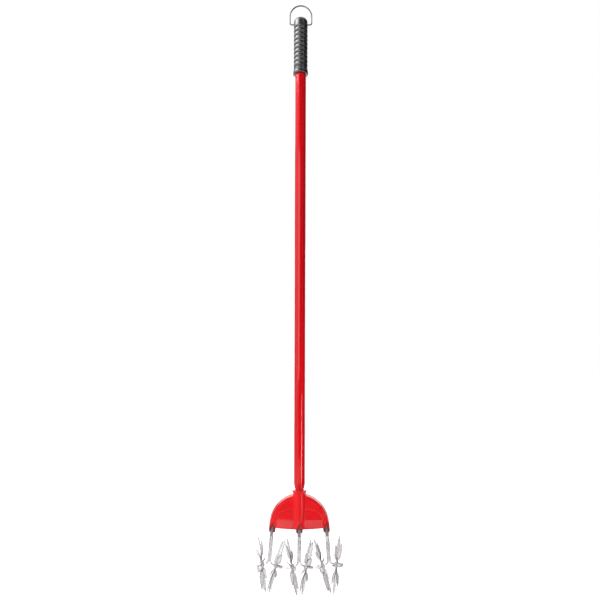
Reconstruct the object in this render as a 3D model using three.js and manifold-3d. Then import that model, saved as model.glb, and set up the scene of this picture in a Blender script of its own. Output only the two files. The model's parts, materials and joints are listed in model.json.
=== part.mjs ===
// A rotary star-wheel cultivator: a long handle over a red fan-shaped head, and under it three legs,
// each with a pair of canted, serrated star wheels that turn freely and break up the soil.
// Millimetres, +Z up. Heights are above the lowest tine tips until the end, where the whole tool is
// moved down so that the origin is the point that the hang ring hangs from. The viewer is at -Y.
import * as THREE from 'three';
import { mergeVertices } from 'three/addons/utils/BufferGeometryUtils.js';
import Module from 'manifold-3d';

const wasm = await Module();
wasm.setup();

// Fits
const CLEARANCE = 0.3; // between two pieces that seat on each other
const OVERRUN = 2; // how far a cutter passes the face that it cuts

// Handle tube
const TUBE_DIAMETER = 25.4;
const TUBE_WALL = 1.2;
const TUBE_LENGTH = 1076.5; // at the full diameter
const SHOULDER_DIAMETER = 23.4; // rolled step between tube and neck
const SHOULDER_LENGTH = 5;
const SHOULDER_TAPER = 1.4;
const NECK_DIAMETER = 22;
const NECK_SHOWING = 7.5; // between the collar and the rolled step
const NECK_DEPTH = 50.5; // inside the collar

// Tube end plug
const PLUG_HEAD_LENGTH = 11;
const PLUG_STEM_LENGTH = 36;
const PLUG_CHAMFER = 1.5;

// Hang ring
const RING_WIRE_DIAMETER = 3;
const RING_WIDTH = 54; // outside
const RING_HEIGHT = 46.5; // from the pivot to the outside of the bow
const RING_CORNER_RADIUS = 4.5;
const RING_END_DISTANCE = 7; // from the axis of the handle to the end of the wire

// Grip
const GRIP_LENGTH = 132;
const GRIP_DIAMETER = 30.8;
const GRIP_ROOF = 8; // rubber above the plug
const GRIP_DOME_RISE = 9.5;
const GRIP_CROWN_RADIUS = 5; // flat middle of the dome
const GRIP_GROOVE_WIDTH = 3.6;
const GRIP_GROOVE_DEPTH = 1.3;
const GRIP_GROOVE_COUNT = 10;
const GRIP_FIRST_GROOVE = 24.5; // below the top of the grip
const GRIP_LAST_LAND = 0.6; // smooth rubber between the last groove and the fine ribs
const GRIP_FINE_PITCH = 2.6; // of the fine ribs between the last groove and the flange
const GRIP_FINE_DEPTH = 0.6;
const GRIP_FINE_COUNT = 2;
const GRIP_FLANGE_DIAMETER = 35;
const GRIP_FLANGE_LENGTH = 9;
const GRIP_FLANGE_ROLL = 2.25; // rounding of the flange's edges

// Tine head
const HEAD_SIDE_MARGIN = 7.6; // from a side socket to the side of the head
const HEAD_ABOVE_SOCKET = 4.7; // lower edge at the two sides
const HEAD_BOTTOM_DIP = 2.5; // how much lower that edge runs in the middle
const HEAD_SIDE_HEIGHT = 2; // straight side under the arch
const HEAD_ARCH_RISE = 77;
const HEAD_WALL = 2.8;
const HEAD_FRONT_MIDDLE = 17; // front face from the axis, in the middle of the lower edge
const HEAD_FRONT_SIDE = 5; // the same at the two sides
const HEAD_FRONT_TOP = 6; // the same at the top of the arch
const HEAD_BACK = 16.6;
const PANEL_RECESS = 1;
const PANEL_INNER_DISTANCE = 16; // from the axis to the two arched panels
const PANEL_SIDE_MARGIN = 10; // from a panel, or the skirt band under it, to the side socket
const PANEL_RISE = 28;
const SKIRT_HEIGHT = 17; // from the lower edge up to the panels
const SKIRT_RECESS = 0.6;
const SKIRT_LEDGE = 2; // full-height strip between the skirt band and a panel
const SKIRT_INNER_DISTANCE = 10.5;
const COLLAR_RISE = 8.5; // above the top of the arch
const COLLAR_LIP_DIAMETER = 34.8;
const COLLAR_LIP_LENGTH = 3.2;
const COLLAR_DIAMETER = 30;
const COLLAR_FOOT_DIAMETER = 28.4;
const COLLAR_FLOOR = 7.2; // solid plastic under the neck
const COLUMN_FOOT_DIAMETER = 17;

// Rivet at the back of the head
const RIVET_DEPTH = 32; // below the top of the collar
const RIVET_SHANK_DIAMETER = 4.8;
const RIVET_HEAD_DIAMETER = 9;
const RIVET_HEAD_RISE = 2;
const RIVET_REACH = 3; // past the inside of the tube wall

// Sockets, ferrules and legs
const LEG_LENGTH = 80.8; // from the knee up to where the ferrule is widest
const MIDDLE_SOCKET_FORWARD = 15;
const SIDE_SOCKET_FORWARD = 3;
const LEG_SPLAY_ANGLE = THREE.MathUtils.degToRad(5);
const BOSS_RADIUS = 8;
const BOSS_FOOT_RADIUS = 7.4;
const BOSS_BELOW = 5.5; // how far the boss reaches under the socket height
const BOSS_WAIST = 3.5; // height of its tapered foot
const BOSS_STRAIGHT = 8; // how far it stays full above the socket height
const BOSS_POINT = 32; // height of its pointed top above the socket height
const FERRULE_RADIUS = 6.6; // corner to centre
const FERRULE_ABOVE = 13.5;
const FERRULE_BELOW = 14.3;
const FERRULE_TOP_RADIUS = 1.6;
const FERRULE_FOOT_RADIUS = 4.4;
const WINDOW_RADIUS = 5.6; // half the width of the pointed window in front of a ferrule
const WINDOW_STRAIGHT = 2.5;
const WINDOW_POINT = 17;

// Axle rods
const ROD_DIAMETER = 4.5;
const ROD_GAP = 0.4; // between the two rods of a leg
const ROD_TOP_ABOVE_SOCKET = 2.4;
const FOOT_HEIGHT = 69; // of the knee, where the axle line meets the leg
const KNEE_ARM = 8.2; // from the knee to where the bend ends
const AXLE_CAMBER_ANGLE = THREE.MathUtils.degToRad(12.9);
const AXLE_TOE_ANGLE = THREE.MathUtils.degToRad(3);
const AXLE_IN_CAP = 3.7; // how far the axle's end reaches into its cap

// Wheels
const PAIR_GAP = 3.3; // between the rims of a leg's two wheels, where they come closest
const LEG_GAP = 2.1; // the same between the wheels of neighbouring legs
const PLATE_THICKNESS = 2;
const PLATE_HUB_RADIUS = 11.5;
const WHEEL_RADIUS = 66;
const TINE_COUNT = 8;
const TINE_ROOT_WIDTH = 7.4;
const TINE_BROAD_WIDTH = 12;
const TINE_TIP_WIDTH = 1.1;
const TINE_TIP_THICKNESS = 0.9;
const TINE_TIP_LENGTH = 8; // plain point beyond the last barb
const BARB_START_RADIUS = 20;
const BARB_COUNT = 5;
const BARB_ROOT_SHARE = 0.62; // width between barbs as a share of the width over them
const BARB_STEP_SHARE = 0.2; // share of a barb's length taken by its step back
const BROADEST_SHARE = 0.3; // where along the barbs the tine is broadest
const TINE_TWIST_ANGLE = THREE.MathUtils.degToRad(38);
const TWIST_END_SHARE = 0.45; // share of the radius where the twist is complete
const BUSH_RADIUS = 4.1;
const BUSH_FLANGE_RADIUS = 6.4;
const BUSH_FLANGE_LENGTH = 2.5;
const BUSH_SLEEVE_RADIUS = 4.7;
const BUSH_SLEEVE_LENGTH = 8.6;
const WASHER_RADIUS = 5.4;
const WASHER_THICKNESS = 1;
const CAP_RADIUS = 4.7;
const CAP_LENGTH = 6;
const CAP_DOME = 1.6;

// Which wheels stand turned by how much: the angle from the top toward the viewer, leg by leg
const WHEEL_PHASES = {
  left_leg: [-2, 6],
  middle_leg: [20, 12],
  right_leg: [-2, -16],
};

// Facets
const ROUND_SIDES = 22;
const GRIP_SIDES = 20;
const SMALL_SIDES = 10;
const WIRE_SIDES = 8;
const ARCH_SEGMENTS = 14;
const PLAN_SEGMENTS = 8;
const CORNER_STEPS = 4;
const BOW_STEPS = 18;
const KNEE_STEPS = 7;
const DOME_STEPS = 4;
const FERRULE_SIDES = 4; // it is square

const COLOURS = {
  paintedRed: { color: 0xc8141e, roughness: 0.22, metalness: 0.1 },
  mouldedRed: { color: 0xdc1c26, roughness: 0.35, metalness: 0 },
  rubber: { color: 0x2b2a2b, roughness: 0.8, metalness: 0 },
  greyPlastic: { color: 0x6b696a, roughness: 0.55, metalness: 0 },
  blackPlastic: { color: 0x1e1e20, roughness: 0.5, metalness: 0 },
  plated: { color: 0xc9cacc, roughness: 0.25, metalness: 1 },
  galvanised: { color: 0xb9babd, roughness: 0.38, metalness: 1 },
};

const X_AXIS = new THREE.Vector3(1, 0, 0);
const Y_AXIS = new THREE.Vector3(0, 1, 0);
const Z_AXIS = new THREE.Vector3(0, 0, 1);

// A closed geometry with its faces turned outward.
function facedOut(geometry) {
  const position = geometry.attributes.position;
  const a = new THREE.Vector3();
  const b = new THREE.Vector3();
  const c = new THREE.Vector3();
  const index = Array.from(geometry.index.array);
  let volume = 0;
  for (let i = 0; i < index.length; i += 3) {
    a.fromBufferAttribute(position, index[i]);
    b.fromBufferAttribute(position, index[i + 1]);
    c.fromBufferAttribute(position, index[i + 2]);
    volume += a.dot(b.cross(c));
  }
  if (volume < 0) {
    for (let i = 0; i < index.length; i += 3) {
      [index[i + 1], index[i + 2]] = [index[i + 2], index[i + 1]];
    }
  }
  geometry.setIndex(index);
  return geometry;
}

// Shared vertices merged, and the flat triangles at a pole or a seam left out.
function welded(geometry) {
  const bare = geometry.clone();
  bare.deleteAttribute('normal');
  bare.deleteAttribute('uv');
  const merged = mergeVertices(bare);
  const source = merged.index.array;
  const kept = [];
  for (let i = 0; i < source.length; i += 3) {
    const [a, b, c] = [source[i], source[i + 1], source[i + 2]];
    if (a !== b && b !== c && c !== a) kept.push(a, b, c);
  }
  merged.setIndex(kept);
  return facedOut(merged);
}

function toSolid(geometry) {
  const closed = welded(geometry);
  const vertProperties = Float32Array.from(closed.attributes.position.array);
  const triVerts = Uint32Array.from(closed.index.array);
  return new wasm.Manifold(new wasm.Mesh({ numProp: 3, vertProperties, triVerts }));
}

function toGeometry(solid) {
  const mesh = solid.getMesh();
  const geometry = new THREE.BufferGeometry();
  geometry.setAttribute('position', new THREE.BufferAttribute(mesh.vertProperties, 3));
  geometry.setIndex(new THREE.BufferAttribute(mesh.triVerts, 1));
  geometry.computeVertexNormals();
  return geometry;
}

function addPiece(parent, name, shape, look) {
  const geometry = shape.isBufferGeometry ? welded(shape) : toGeometry(shape);
  geometry.computeVertexNormals();
  const mesh = new THREE.Mesh(geometry, new THREE.MeshStandardMaterial(COLOURS[look]));
  mesh.name = name;
  parent.add(mesh);
  return mesh;
}

// A profile of [radius, height] pairs turned about +Z.
function turned(profile, sides) {
  const points = profile.map(([radius, height]) => new THREE.Vector2(radius, height));
  return new THREE.LatheGeometry(points, sides).rotateX(Math.PI / 2);
}

// The same about +X, which is how the wheel's pieces lie on their axle.
function turnedOnAxle(profile, sides) {
  return turned(profile, sides).rotateY(Math.PI / 2);
}

function rod(from, to, radius, sides) {
  const length = from.distanceTo(to);
  const geometry = new THREE.CylinderGeometry(radius, radius, length, sides);
  const direction = to.clone().sub(from).normalize();
  geometry.applyQuaternion(new THREE.Quaternion().setFromUnitVectors(Y_AXIS, direction));
  const middle = from.clone().add(to).multiplyScalar(1 / 2);
  return geometry.translate(middle.x, middle.y, middle.z);
}

// An outline pushed through the tool from one side to the other, along -Y, X or Z.
function prism(shape, near, far, direction, curveSegments = 1) {
  const geometry = new THREE.ExtrudeGeometry(shape, {
    depth: far - near,
    bevelEnabled: false,
    curveSegments,
  });
  geometry.translate(0, 0, near);
  if (direction === 'forward') geometry.rotateX(Math.PI / 2);
  if (direction === 'sideways') {
    geometry.applyMatrix4(new THREE.Matrix4().makeBasis(Y_AXIS, Z_AXIS, X_AXIS));
  }
  return geometry;
}

function polygon(points) {
  return new THREE.Shape(points.map(([x, y]) => new THREE.Vector2(x, y)));
}

// A route made of stretches, each with its own number of steps, so that the bends get most of them.
class Route extends THREE.Curve {
  constructor() {
    super();
    this.stretches = [];
    this.steps = 0;
  }

  add(curve, steps) {
    this.stretches.push({ curve, steps, start: this.steps });
    this.steps += steps;
    return this;
  }

  getPoint(t, target = new THREE.Vector3()) {
    const place = THREE.MathUtils.clamp(t, 0, 1) * this.steps;
    const at = this.stretches.find(({ start, steps }) => place <= start + steps);
    const { curve, steps, start } = at ?? this.stretches.at(-1);
    return target.copy(curve.getPoint((place - start) / steps));
  }

  getUtoTmapping(u) {
    return u;
  }
}

// A stretch of a circle through the plane of two unit vectors.
class Arc extends THREE.Curve {
  constructor(centre, radius, first, second, angle) {
    super();
    Object.assign(this, { centre, radius, first, second, angle });
  }

  getPoint(t, target = new THREE.Vector3()) {
    const angle = t * this.angle;
    return target
      .copy(this.centre)
      .addScaledVector(this.first, this.radius * Math.cos(angle))
      .addScaledVector(this.second, this.radius * Math.sin(angle));
  }
}

function wireAlong(route, radius) {
  const section = [];
  for (let side = 0; side < WIRE_SIDES; side += 1) {
    const angle = ((side + 1 / 2) * 2 * Math.PI) / WIRE_SIDES;
    section.push([radius * Math.cos(angle), radius * Math.sin(angle)]);
  }
  return new THREE.ExtrudeGeometry(polygon(section), {
    steps: route.steps,
    extrudePath: route,
  });
}

// A closed skin over rings of equally many points, with a flat end on each side.
function lofted(rings) {
  const count = rings[0].length;
  const positions = rings.flat().flatMap((point) => point.toArray());
  const index = [];
  for (let ring = 0; ring + 1 < rings.length; ring += 1) {
    for (let side = 0; side < count; side += 1) {
      const here = ring * count + side;
      const next = ring * count + ((side + 1) % count);
      index.push(here, next, next + count, here, next + count, here + count);
    }
  }
  const last = (rings.length - 1) * count;
  for (let side = 1; side + 1 < count; side += 1) {
    index.push(0, side + 1, side, last, last + side, last + side + 1);
  }
  const geometry = new THREE.BufferGeometry();
  geometry.setAttribute('position', new THREE.Float32BufferAttribute(positions, 3));
  geometry.setIndex(index);
  return geometry;
}

// The turn that lays +X along an axle: out to one side, drooping by the camber, swept back by the toe.
function axleTurn(side) {
  const sweep = side > 0 ? AXLE_TOE_ANGLE : Math.PI - AXLE_TOE_ANGLE;
  return new THREE.Euler(0, side * AXLE_CAMBER_ANGLE, sweep, 'YZX');
}

// The sideways share of an axle's direction, on a leg that leans by some angle.
function sidewaysShare(lean) {
  return X_AXIS.clone().applyEuler(axleTurn(1)).applyAxisAngle(Y_AXIS, lean).x;
}

// How far a turning wheel's rim reaches sideways from its hub.
function rimReach(lean) {
  return WHEEL_RADIUS * Math.sqrt(1 - sidewaysShare(lean) ** 2);
}

const rodOffset = (ROD_DIAMETER + ROD_GAP) / 2;
const rodRoom = ROD_DIAMETER / 2 + CLEARANCE;

// Wheels are set out along the axle from the knee, so that the two rims of a leg clear each other.
const wheelDistance = (PAIR_GAP / 2 + rimReach(0) - rodOffset) / sidewaysShare(0);
const capMouth = PLATE_THICKNESS / 2 + BUSH_SLEEVE_LENGTH + 2 * CLEARANCE;
const axleLength = wheelDistance + capMouth + AXLE_IN_CAP;

// How far a leg's wheels reach sideways from its foot.
function wheelReach(lean) {
  return rodOffset * Math.cos(lean) + wheelDistance * sidewaysShare(lean) + rimReach(lean);
}

// The legs stand so far apart that the rims of neighbouring legs clear each other.
const footSpacing = wheelReach(0) + wheelReach(LEG_SPLAY_ANGLE) + LEG_GAP;
const socketSpacing = footSpacing - LEG_LENGTH * Math.sin(LEG_SPLAY_ANGLE);

// Heights and widths that several pieces share, from the foot of the tool upward.
const socketHeight = FOOT_HEIGHT + LEG_LENGTH;
const headBottom = socketHeight + HEAD_ABOVE_SOCKET;
const headHalf = socketSpacing + HEAD_SIDE_MARGIN;
const headTop = headBottom + HEAD_SIDE_HEIGHT + HEAD_ARCH_RISE;
const collarTop = headTop + COLLAR_RISE;
const neckRadius = NECK_DIAMETER / 2;
const neckTop = collarTop + NECK_SHOWING;
const neckBottom = collarTop - NECK_DEPTH;
const tubeRadius = TUBE_DIAMETER / 2;
const tubeBottom = neckTop + SHOULDER_LENGTH;
const tubeTop = tubeBottom + TUBE_LENGTH;
const plugBottom = tubeTop + CLEARANCE;
const plugTop = plugBottom + PLUG_HEAD_LENGTH;
const ringPivotHeight = plugBottom + PLUG_HEAD_LENGTH / 2;
const gripTop = plugTop + CLEARANCE + GRIP_ROOF;
const gripBottom = gripTop - GRIP_LENGTH;
const hangHeight = ringPivotHeight + RING_HEIGHT - RING_WIRE_DIAMETER;

const ringHole = rod(
  new THREE.Vector3(-RING_WIDTH / 2, 0, ringPivotHeight),
  new THREE.Vector3(RING_WIDTH / 2, 0, ringPivotHeight),
  RING_WIRE_DIAMETER / 2 + CLEARANCE,
  SMALL_SIDES,
);

const rivetHeight = collarTop - RIVET_DEPTH;
const rivetInner = neckRadius - TUBE_WALL - RIVET_REACH;
const rivetHole = rod(
  new THREE.Vector3(0, rivetInner - OVERRUN, rivetHeight),
  new THREE.Vector3(0, HEAD_BACK + OVERRUN, rivetHeight),
  RIVET_SHANK_DIAMETER / 2 + CLEARANCE,
  SMALL_SIDES,
);

// The tube, open at both ends, with a rolled step down to its neck.
function makeTube() {
  const shoulderRadius = SHOULDER_DIAMETER / 2;
  const outside = [
    [neckRadius, neckBottom],
    [neckRadius, neckTop - SHOULDER_TAPER],
    [shoulderRadius, neckTop],
    [shoulderRadius, tubeBottom - SHOULDER_TAPER],
    [tubeRadius, tubeBottom],
    [tubeRadius, tubeTop],
  ];
  const inside = outside.map(([radius, height]) => [radius - TUBE_WALL, height]).reverse();
  const tube = turned([...outside, ...inside, outside[0]], ROUND_SIDES);
  return toSolid(tube).subtract(toSolid(rivetHole));
}

// The hard plug in the tube's top end, with the cross hole that the ring's ends turn in.
function makePlug() {
  const stemRadius = tubeRadius - TUBE_WALL - CLEARANCE;
  const stemBottom = tubeTop - PLUG_STEM_LENGTH;
  const profile = [
    [0, stemBottom],
    [stemRadius - PLUG_CHAMFER, stemBottom],
    [stemRadius, stemBottom + PLUG_CHAMFER],
    [stemRadius, plugBottom],
    [tubeRadius, plugBottom],
    [tubeRadius, plugTop - PLUG_CHAMFER],
    [tubeRadius - PLUG_CHAMFER, plugTop],
    [0, plugTop],
  ];
  return toSolid(turned(profile, ROUND_SIDES)).subtract(toSolid(ringHole));
}

// The bail: its bow, two straight sides, and two ends that turn in to the pivot.
function makeRing() {
  const wire = RING_WIRE_DIAMETER / 2;
  const half = RING_WIDTH / 2 - wire;
  const bowHeight = ringPivotHeight + RING_HEIGHT - wire - half;
  const corner = RING_CORNER_RADIUS;
  const at = (x, z) => new THREE.Vector3(x, 0, z);
  const left = X_AXIS.clone().negate();
  const down = Z_AXIS.clone().negate();
  const quarter = Math.PI / 2;
  const route = new Route();
  const pivot = ringPivotHeight;
  route.add(new THREE.LineCurve3(at(-RING_END_DISTANCE, pivot), at(corner - half, pivot)), 1);
  const leftCorner = at(corner - half, pivot + corner);
  route.add(new Arc(leftCorner, corner, down, left, quarter), CORNER_STEPS);
  route.add(new THREE.LineCurve3(at(-half, pivot + corner), at(-half, bowHeight)), 1);
  route.add(new Arc(at(0, bowHeight), half, left, Z_AXIS, Math.PI), BOW_STEPS);
  route.add(new THREE.LineCurve3(at(half, bowHeight), at(half, pivot + corner)), 1);
  const rightCorner = at(half - corner, pivot + corner);
  route.add(new Arc(rightCorner, corner, X_AXIS, down, quarter), CORNER_STEPS);
  route.add(new THREE.LineCurve3(at(half - corner, pivot), at(RING_END_DISTANCE, pivot)), 1);
  return wireAlong(route, wire);
}

// The rubber sleeve: grooved outside, domed on top, rolled at its foot, bored for tube and plug.
function makeGrip() {
  const radius = GRIP_DIAMETER / 2;
  const flange = GRIP_FLANGE_DIAMETER / 2;
  const bore = tubeRadius + CLEARANCE;
  const roll = GRIP_FLANGE_ROLL;
  const flangeTop = gripBottom + GRIP_FLANGE_LENGTH;
  const ribsTop = flangeTop + GRIP_FINE_COUNT * GRIP_FINE_PITCH;
  const lastGroove = ribsTop + GRIP_LAST_LAND + GRIP_GROOVE_WIDTH / 2;
  const pitch = (gripTop - GRIP_FIRST_GROOVE - lastGroove) / (GRIP_GROOVE_COUNT - 1);
  const profile = [
    [bore, gripBottom],
    [flange - roll, gripBottom],
    [flange, gripBottom + roll],
    [flange, flangeTop - roll],
    [flange - roll / 2, flangeTop],
  ];
  for (let rib = 0; rib < GRIP_FINE_COUNT; rib += 1) {
    const low = flangeTop + rib * GRIP_FINE_PITCH;
    profile.push([radius - GRIP_FINE_DEPTH, low]);
    profile.push([radius, low + GRIP_FINE_PITCH / 2]);
  }
  for (let groove = 0; groove < GRIP_GROOVE_COUNT; groove += 1) {
    const middle = lastGroove + groove * pitch;
    profile.push([radius, middle - GRIP_GROOVE_WIDTH / 2]);
    profile.push([radius - GRIP_GROOVE_DEPTH, middle]);
    profile.push([radius, middle + GRIP_GROOVE_WIDTH / 2]);
  }
  for (let step = 0; step <= DOME_STEPS; step += 1) {
    const angle = ((Math.PI / 2) * step) / DOME_STEPS;
    const across = GRIP_CROWN_RADIUS + (radius - GRIP_CROWN_RADIUS) * Math.cos(angle);
    profile.push([across, gripTop - GRIP_DOME_RISE * (1 - Math.sin(angle))]);
  }
  profile.push([0, gripTop]);
  profile.push([0, plugTop + CLEARANCE]);
  profile.push([bore, plugTop + CLEARANCE]);
  profile.push(profile[0]);
  return toSolid(turned(profile, GRIP_SIDES)).subtract(toSolid(ringHole));
}

// The outline of the fan seen from the front, drawn in by some inset.
function fanOutline(inset) {
  const half = headHalf - inset;
  const base = headBottom + HEAD_SIDE_HEIGHT;
  const over = inset > 0 ? OVERRUN : 0;
  const bottom = headBottom - over;
  const shape = new THREE.Shape();
  shape.moveTo(-half, bottom);
  shape.lineTo(-half, base);
  shape.absellipse(0, base, half, HEAD_ARCH_RISE - inset, Math.PI, 0, true);
  shape.lineTo(half, bottom);
  shape.lineTo(0, bottom - HEAD_BOTTOM_DIP);
  return shape;
}

// Everything between the front and the back of the fan, which bulges forward and leans back upward.
function fanThickness(inset) {
  const half = headHalf;
  const back = HEAD_BACK - inset;
  const plan = new THREE.Shape();
  const pull = 2 * HEAD_FRONT_MIDDLE - HEAD_FRONT_SIDE - inset; // of the curve's middle point
  plan.moveTo(-half, inset - HEAD_FRONT_SIDE);
  plan.quadraticCurveTo(0, -pull, half, inset - HEAD_FRONT_SIDE);
  plan.lineTo(half, back);
  plan.lineTo(-half, back);
  const low = headBottom - HEAD_BOTTOM_DIP - 2 * OVERRUN;
  const side = polygon([
    [inset - HEAD_FRONT_MIDDLE, low],
    [inset - HEAD_FRONT_MIDDLE, headBottom],
    [inset - HEAD_FRONT_TOP, headTop],
    [back, headTop],
    [back, low],
  ]);
  const upright = toSolid(prism(plan, low, headTop, 'up', PLAN_SEGMENTS));
  return upright.intersect(toSolid(prism(side, -half, half, 'sideways')));
}

function fan(inset) {
  const front = HEAD_FRONT_MIDDLE + OVERRUN;
  const outline = prism(fanOutline(inset), -HEAD_BACK, front, 'forward', ARCH_SEGMENTS);
  return toSolid(outline).intersect(fanThickness(inset));
}

// The two quarter-arch panels and the skirt bands between the sockets, sunk into the front.
function frontRecesses(side) {
  const panel = new THREE.Shape();
  const outer = socketSpacing - PANEL_SIDE_MARGIN;
  const inner = PANEL_INNER_DISTANCE;
  const panelBottom = headBottom + SKIRT_HEIGHT;
  panel.moveTo(inner, panelBottom);
  panel.lineTo(outer, panelBottom);
  panel.absellipse(inner, panelBottom, outer - inner, PANEL_RISE, 0, Math.PI / 2, false);
  const bandBottom = headBottom - HEAD_BOTTOM_DIP - OVERRUN;
  const bandTop = panelBottom - SKIRT_LEDGE;
  const band = polygon([
    [SKIRT_INNER_DISTANCE, bandBottom],
    [outer, bandBottom],
    [outer, bandTop],
    [SKIRT_INNER_DISTANCE, bandTop],
  ]);
  const reach = HEAD_FRONT_MIDDLE + OVERRUN;
  const arch = toSolid(prism(panel, 0, reach, 'forward', ARCH_SEGMENTS / 2));
  const skirt = toSolid(prism(band, 0, reach, 'forward'));
  const cuts = arch
    .subtract(fanThickness(PANEL_RECESS))
    .add(skirt.subtract(fanThickness(SKIRT_RECESS)));
  return side > 0 ? cuts : cuts.mirror([1, 0, 0]);
}

// Where a leg stands: its own +Z runs up the leg, from the knee to the socket.
function legFrame(side) {
  const lean = new THREE.Quaternion().setFromAxisAngle(Y_AXIS, -side * LEG_SPLAY_ANGLE);
  const forward = side === 0 ? MIDDLE_SOCKET_FORWARD : SIDE_SOCKET_FORWARD;
  const socket = new THREE.Vector3(side * socketSpacing, -forward, socketHeight);
  const up = new THREE.Vector3(0, 0, LEG_LENGTH).applyQuaternion(lean);
  return new THREE.Matrix4().compose(socket.sub(up), lean, new THREE.Vector3(1, 1, 1));
}

// A pointed boss, full round at the socket and drawn out to a lancet tip above it.
function makeBoss(frame) {
  const low = LEG_LENGTH - BOSS_BELOW;
  const profile = [
    [0, low],
    [BOSS_FOOT_RADIUS, low],
    [BOSS_RADIUS, low + BOSS_WAIST],
    [BOSS_RADIUS, LEG_LENGTH + BOSS_STRAIGHT],
  ];
  for (let step = 1; step <= DOME_STEPS; step += 1) {
    const share = step / DOME_STEPS;
    const height = LEG_LENGTH + BOSS_STRAIGHT + (BOSS_POINT - BOSS_STRAIGHT) * share;
    profile.push([BOSS_RADIUS * (1 - share ** 2), height]);
  }
  return toSolid(turned(profile, SMALL_SIDES).applyMatrix4(frame));
}

// The hollow that takes a ferrule from below, and the pointed window that shows its edge.
function makeSocketCut(frame) {
  const low = LEG_LENGTH - BOSS_BELOW - OVERRUN;
  const room = FERRULE_RADIUS + CLEARANCE * Math.SQRT2;
  const hollow = turned(
    [
      [0, low],
      [room, low],
      [room, LEG_LENGTH + CLEARANCE],
      [FERRULE_TOP_RADIUS + CLEARANCE, LEG_LENGTH + FERRULE_ABOVE + CLEARANCE],
      [0, LEG_LENGTH + FERRULE_ABOVE + CLEARANCE],
    ],
    FERRULE_SIDES,
  );
  const window = polygon([
    [-WINDOW_RADIUS, low],
    [WINDOW_RADIUS, low],
    [WINDOW_RADIUS, LEG_LENGTH + WINDOW_STRAIGHT],
    [0, LEG_LENGTH + WINDOW_POINT],
    [-WINDOW_RADIUS, LEG_LENGTH + WINDOW_STRAIGHT],
  ]);
  const opening = prism(window, 0, BOSS_RADIUS + OVERRUN, 'forward');
  return toSolid(hollow.applyMatrix4(frame)).add(toSolid(opening.applyMatrix4(frame)));
}

// The red moulding: a hollow fan, open below, with the collar, the column and the three sockets.
function makeHead() {
  const collarFoot = neckBottom - CLEARANCE - COLLAR_FLOOR;
  const collar = turned(
    [
      [0, collarFoot],
      [COLLAR_FOOT_DIAMETER / 2, collarFoot],
      [COLLAR_FOOT_DIAMETER / 2, headTop],
      [COLLAR_DIAMETER / 2, collarTop - COLLAR_LIP_LENGTH],
      [COLLAR_LIP_DIAMETER / 2, collarTop - COLLAR_LIP_LENGTH / 2],
      [COLLAR_DIAMETER / 2, collarTop],
      [0, collarTop],
    ],
    ROUND_SIDES,
  );
  const columnTop = new THREE.Vector3(0, 0, headTop);
  const columnFoot = new THREE.Vector3(0, -MIDDLE_SOCKET_FORWARD, headBottom);
  const column = new THREE.CylinderGeometry(
    COLLAR_FOOT_DIAMETER / 2,
    COLUMN_FOOT_DIAMETER / 2,
    columnTop.distanceTo(columnFoot),
    ROUND_SIDES,
  );
  const lean = columnTop.clone().sub(columnFoot).normalize();
  column.applyQuaternion(new THREE.Quaternion().setFromUnitVectors(Y_AXIS, lean));
  const middle = columnTop.add(columnFoot).multiplyScalar(1 / 2);
  column.translate(middle.x, middle.y, middle.z);

  let head = fan(0).subtract(frontRecesses(1)).subtract(frontRecesses(-1)).subtract(fan(HEAD_WALL));
  head = head.add(toSolid(collar)).add(toSolid(column));
  for (const side of [-1, 0, 1]) {
    const frame = legFrame(side);
    head = head.add(makeBoss(frame));
  }
  for (const side of [-1, 0, 1]) {
    head = head.subtract(makeSocketCut(legFrame(side)));
  }
  const bore = rod(
    new THREE.Vector3(0, 0, neckBottom - CLEARANCE),
    new THREE.Vector3(0, 0, collarTop + OVERRUN),
    neckRadius + CLEARANCE,
    ROUND_SIDES,
  );
  return head.subtract(toSolid(bore)).subtract(toSolid(rivetHole));
}

// The rivet runs in along -Y: a domed head outside, and a shank through the collar and the tube.
function makeRivet() {
  const headRadius = RIVET_HEAD_DIAMETER / 2;
  const shank = RIVET_SHANK_DIAMETER / 2;
  const seat = HEAD_BACK + CLEARANCE;
  const profile = [
    [0, rivetInner],
    [shank, rivetInner],
    [shank, seat],
  ];
  for (let step = 0; step < DOME_STEPS; step += 1) {
    const angle = ((Math.PI / 2) * step) / DOME_STEPS;
    profile.push([headRadius * Math.cos(angle), seat + RIVET_HEAD_RISE * Math.sin(angle)]);
  }
  profile.push([0, seat + RIVET_HEAD_RISE]);
  return turned(profile, SMALL_SIDES).rotateX(-Math.PI / 2).translate(0, 0, rivetHeight);
}

const rodTop = LEG_LENGTH + ROD_TOP_ABOVE_SOCKET;

// The square, double-pointed wedge that locks the two rods in their socket, one edge to the front.
function makeFerrule() {
  const profile = [
    [0, LEG_LENGTH - FERRULE_BELOW],
    [FERRULE_FOOT_RADIUS, LEG_LENGTH - FERRULE_BELOW],
    [FERRULE_RADIUS, LEG_LENGTH],
    [FERRULE_TOP_RADIUS, LEG_LENGTH + FERRULE_ABOVE],
    [0, LEG_LENGTH + FERRULE_ABOVE],
  ];
  let ferrule = toSolid(turned(profile, FERRULE_SIDES));
  for (const side of [-1, 1]) {
    const low = new THREE.Vector3(side * rodOffset, 0, LEG_LENGTH - FERRULE_BELOW - OVERRUN);
    const high = new THREE.Vector3(side * rodOffset, 0, rodTop + CLEARANCE);
    ferrule = ferrule.subtract(toSolid(rod(low, high, rodRoom, SMALL_SIDES)));
  }
  return ferrule;
}

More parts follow.
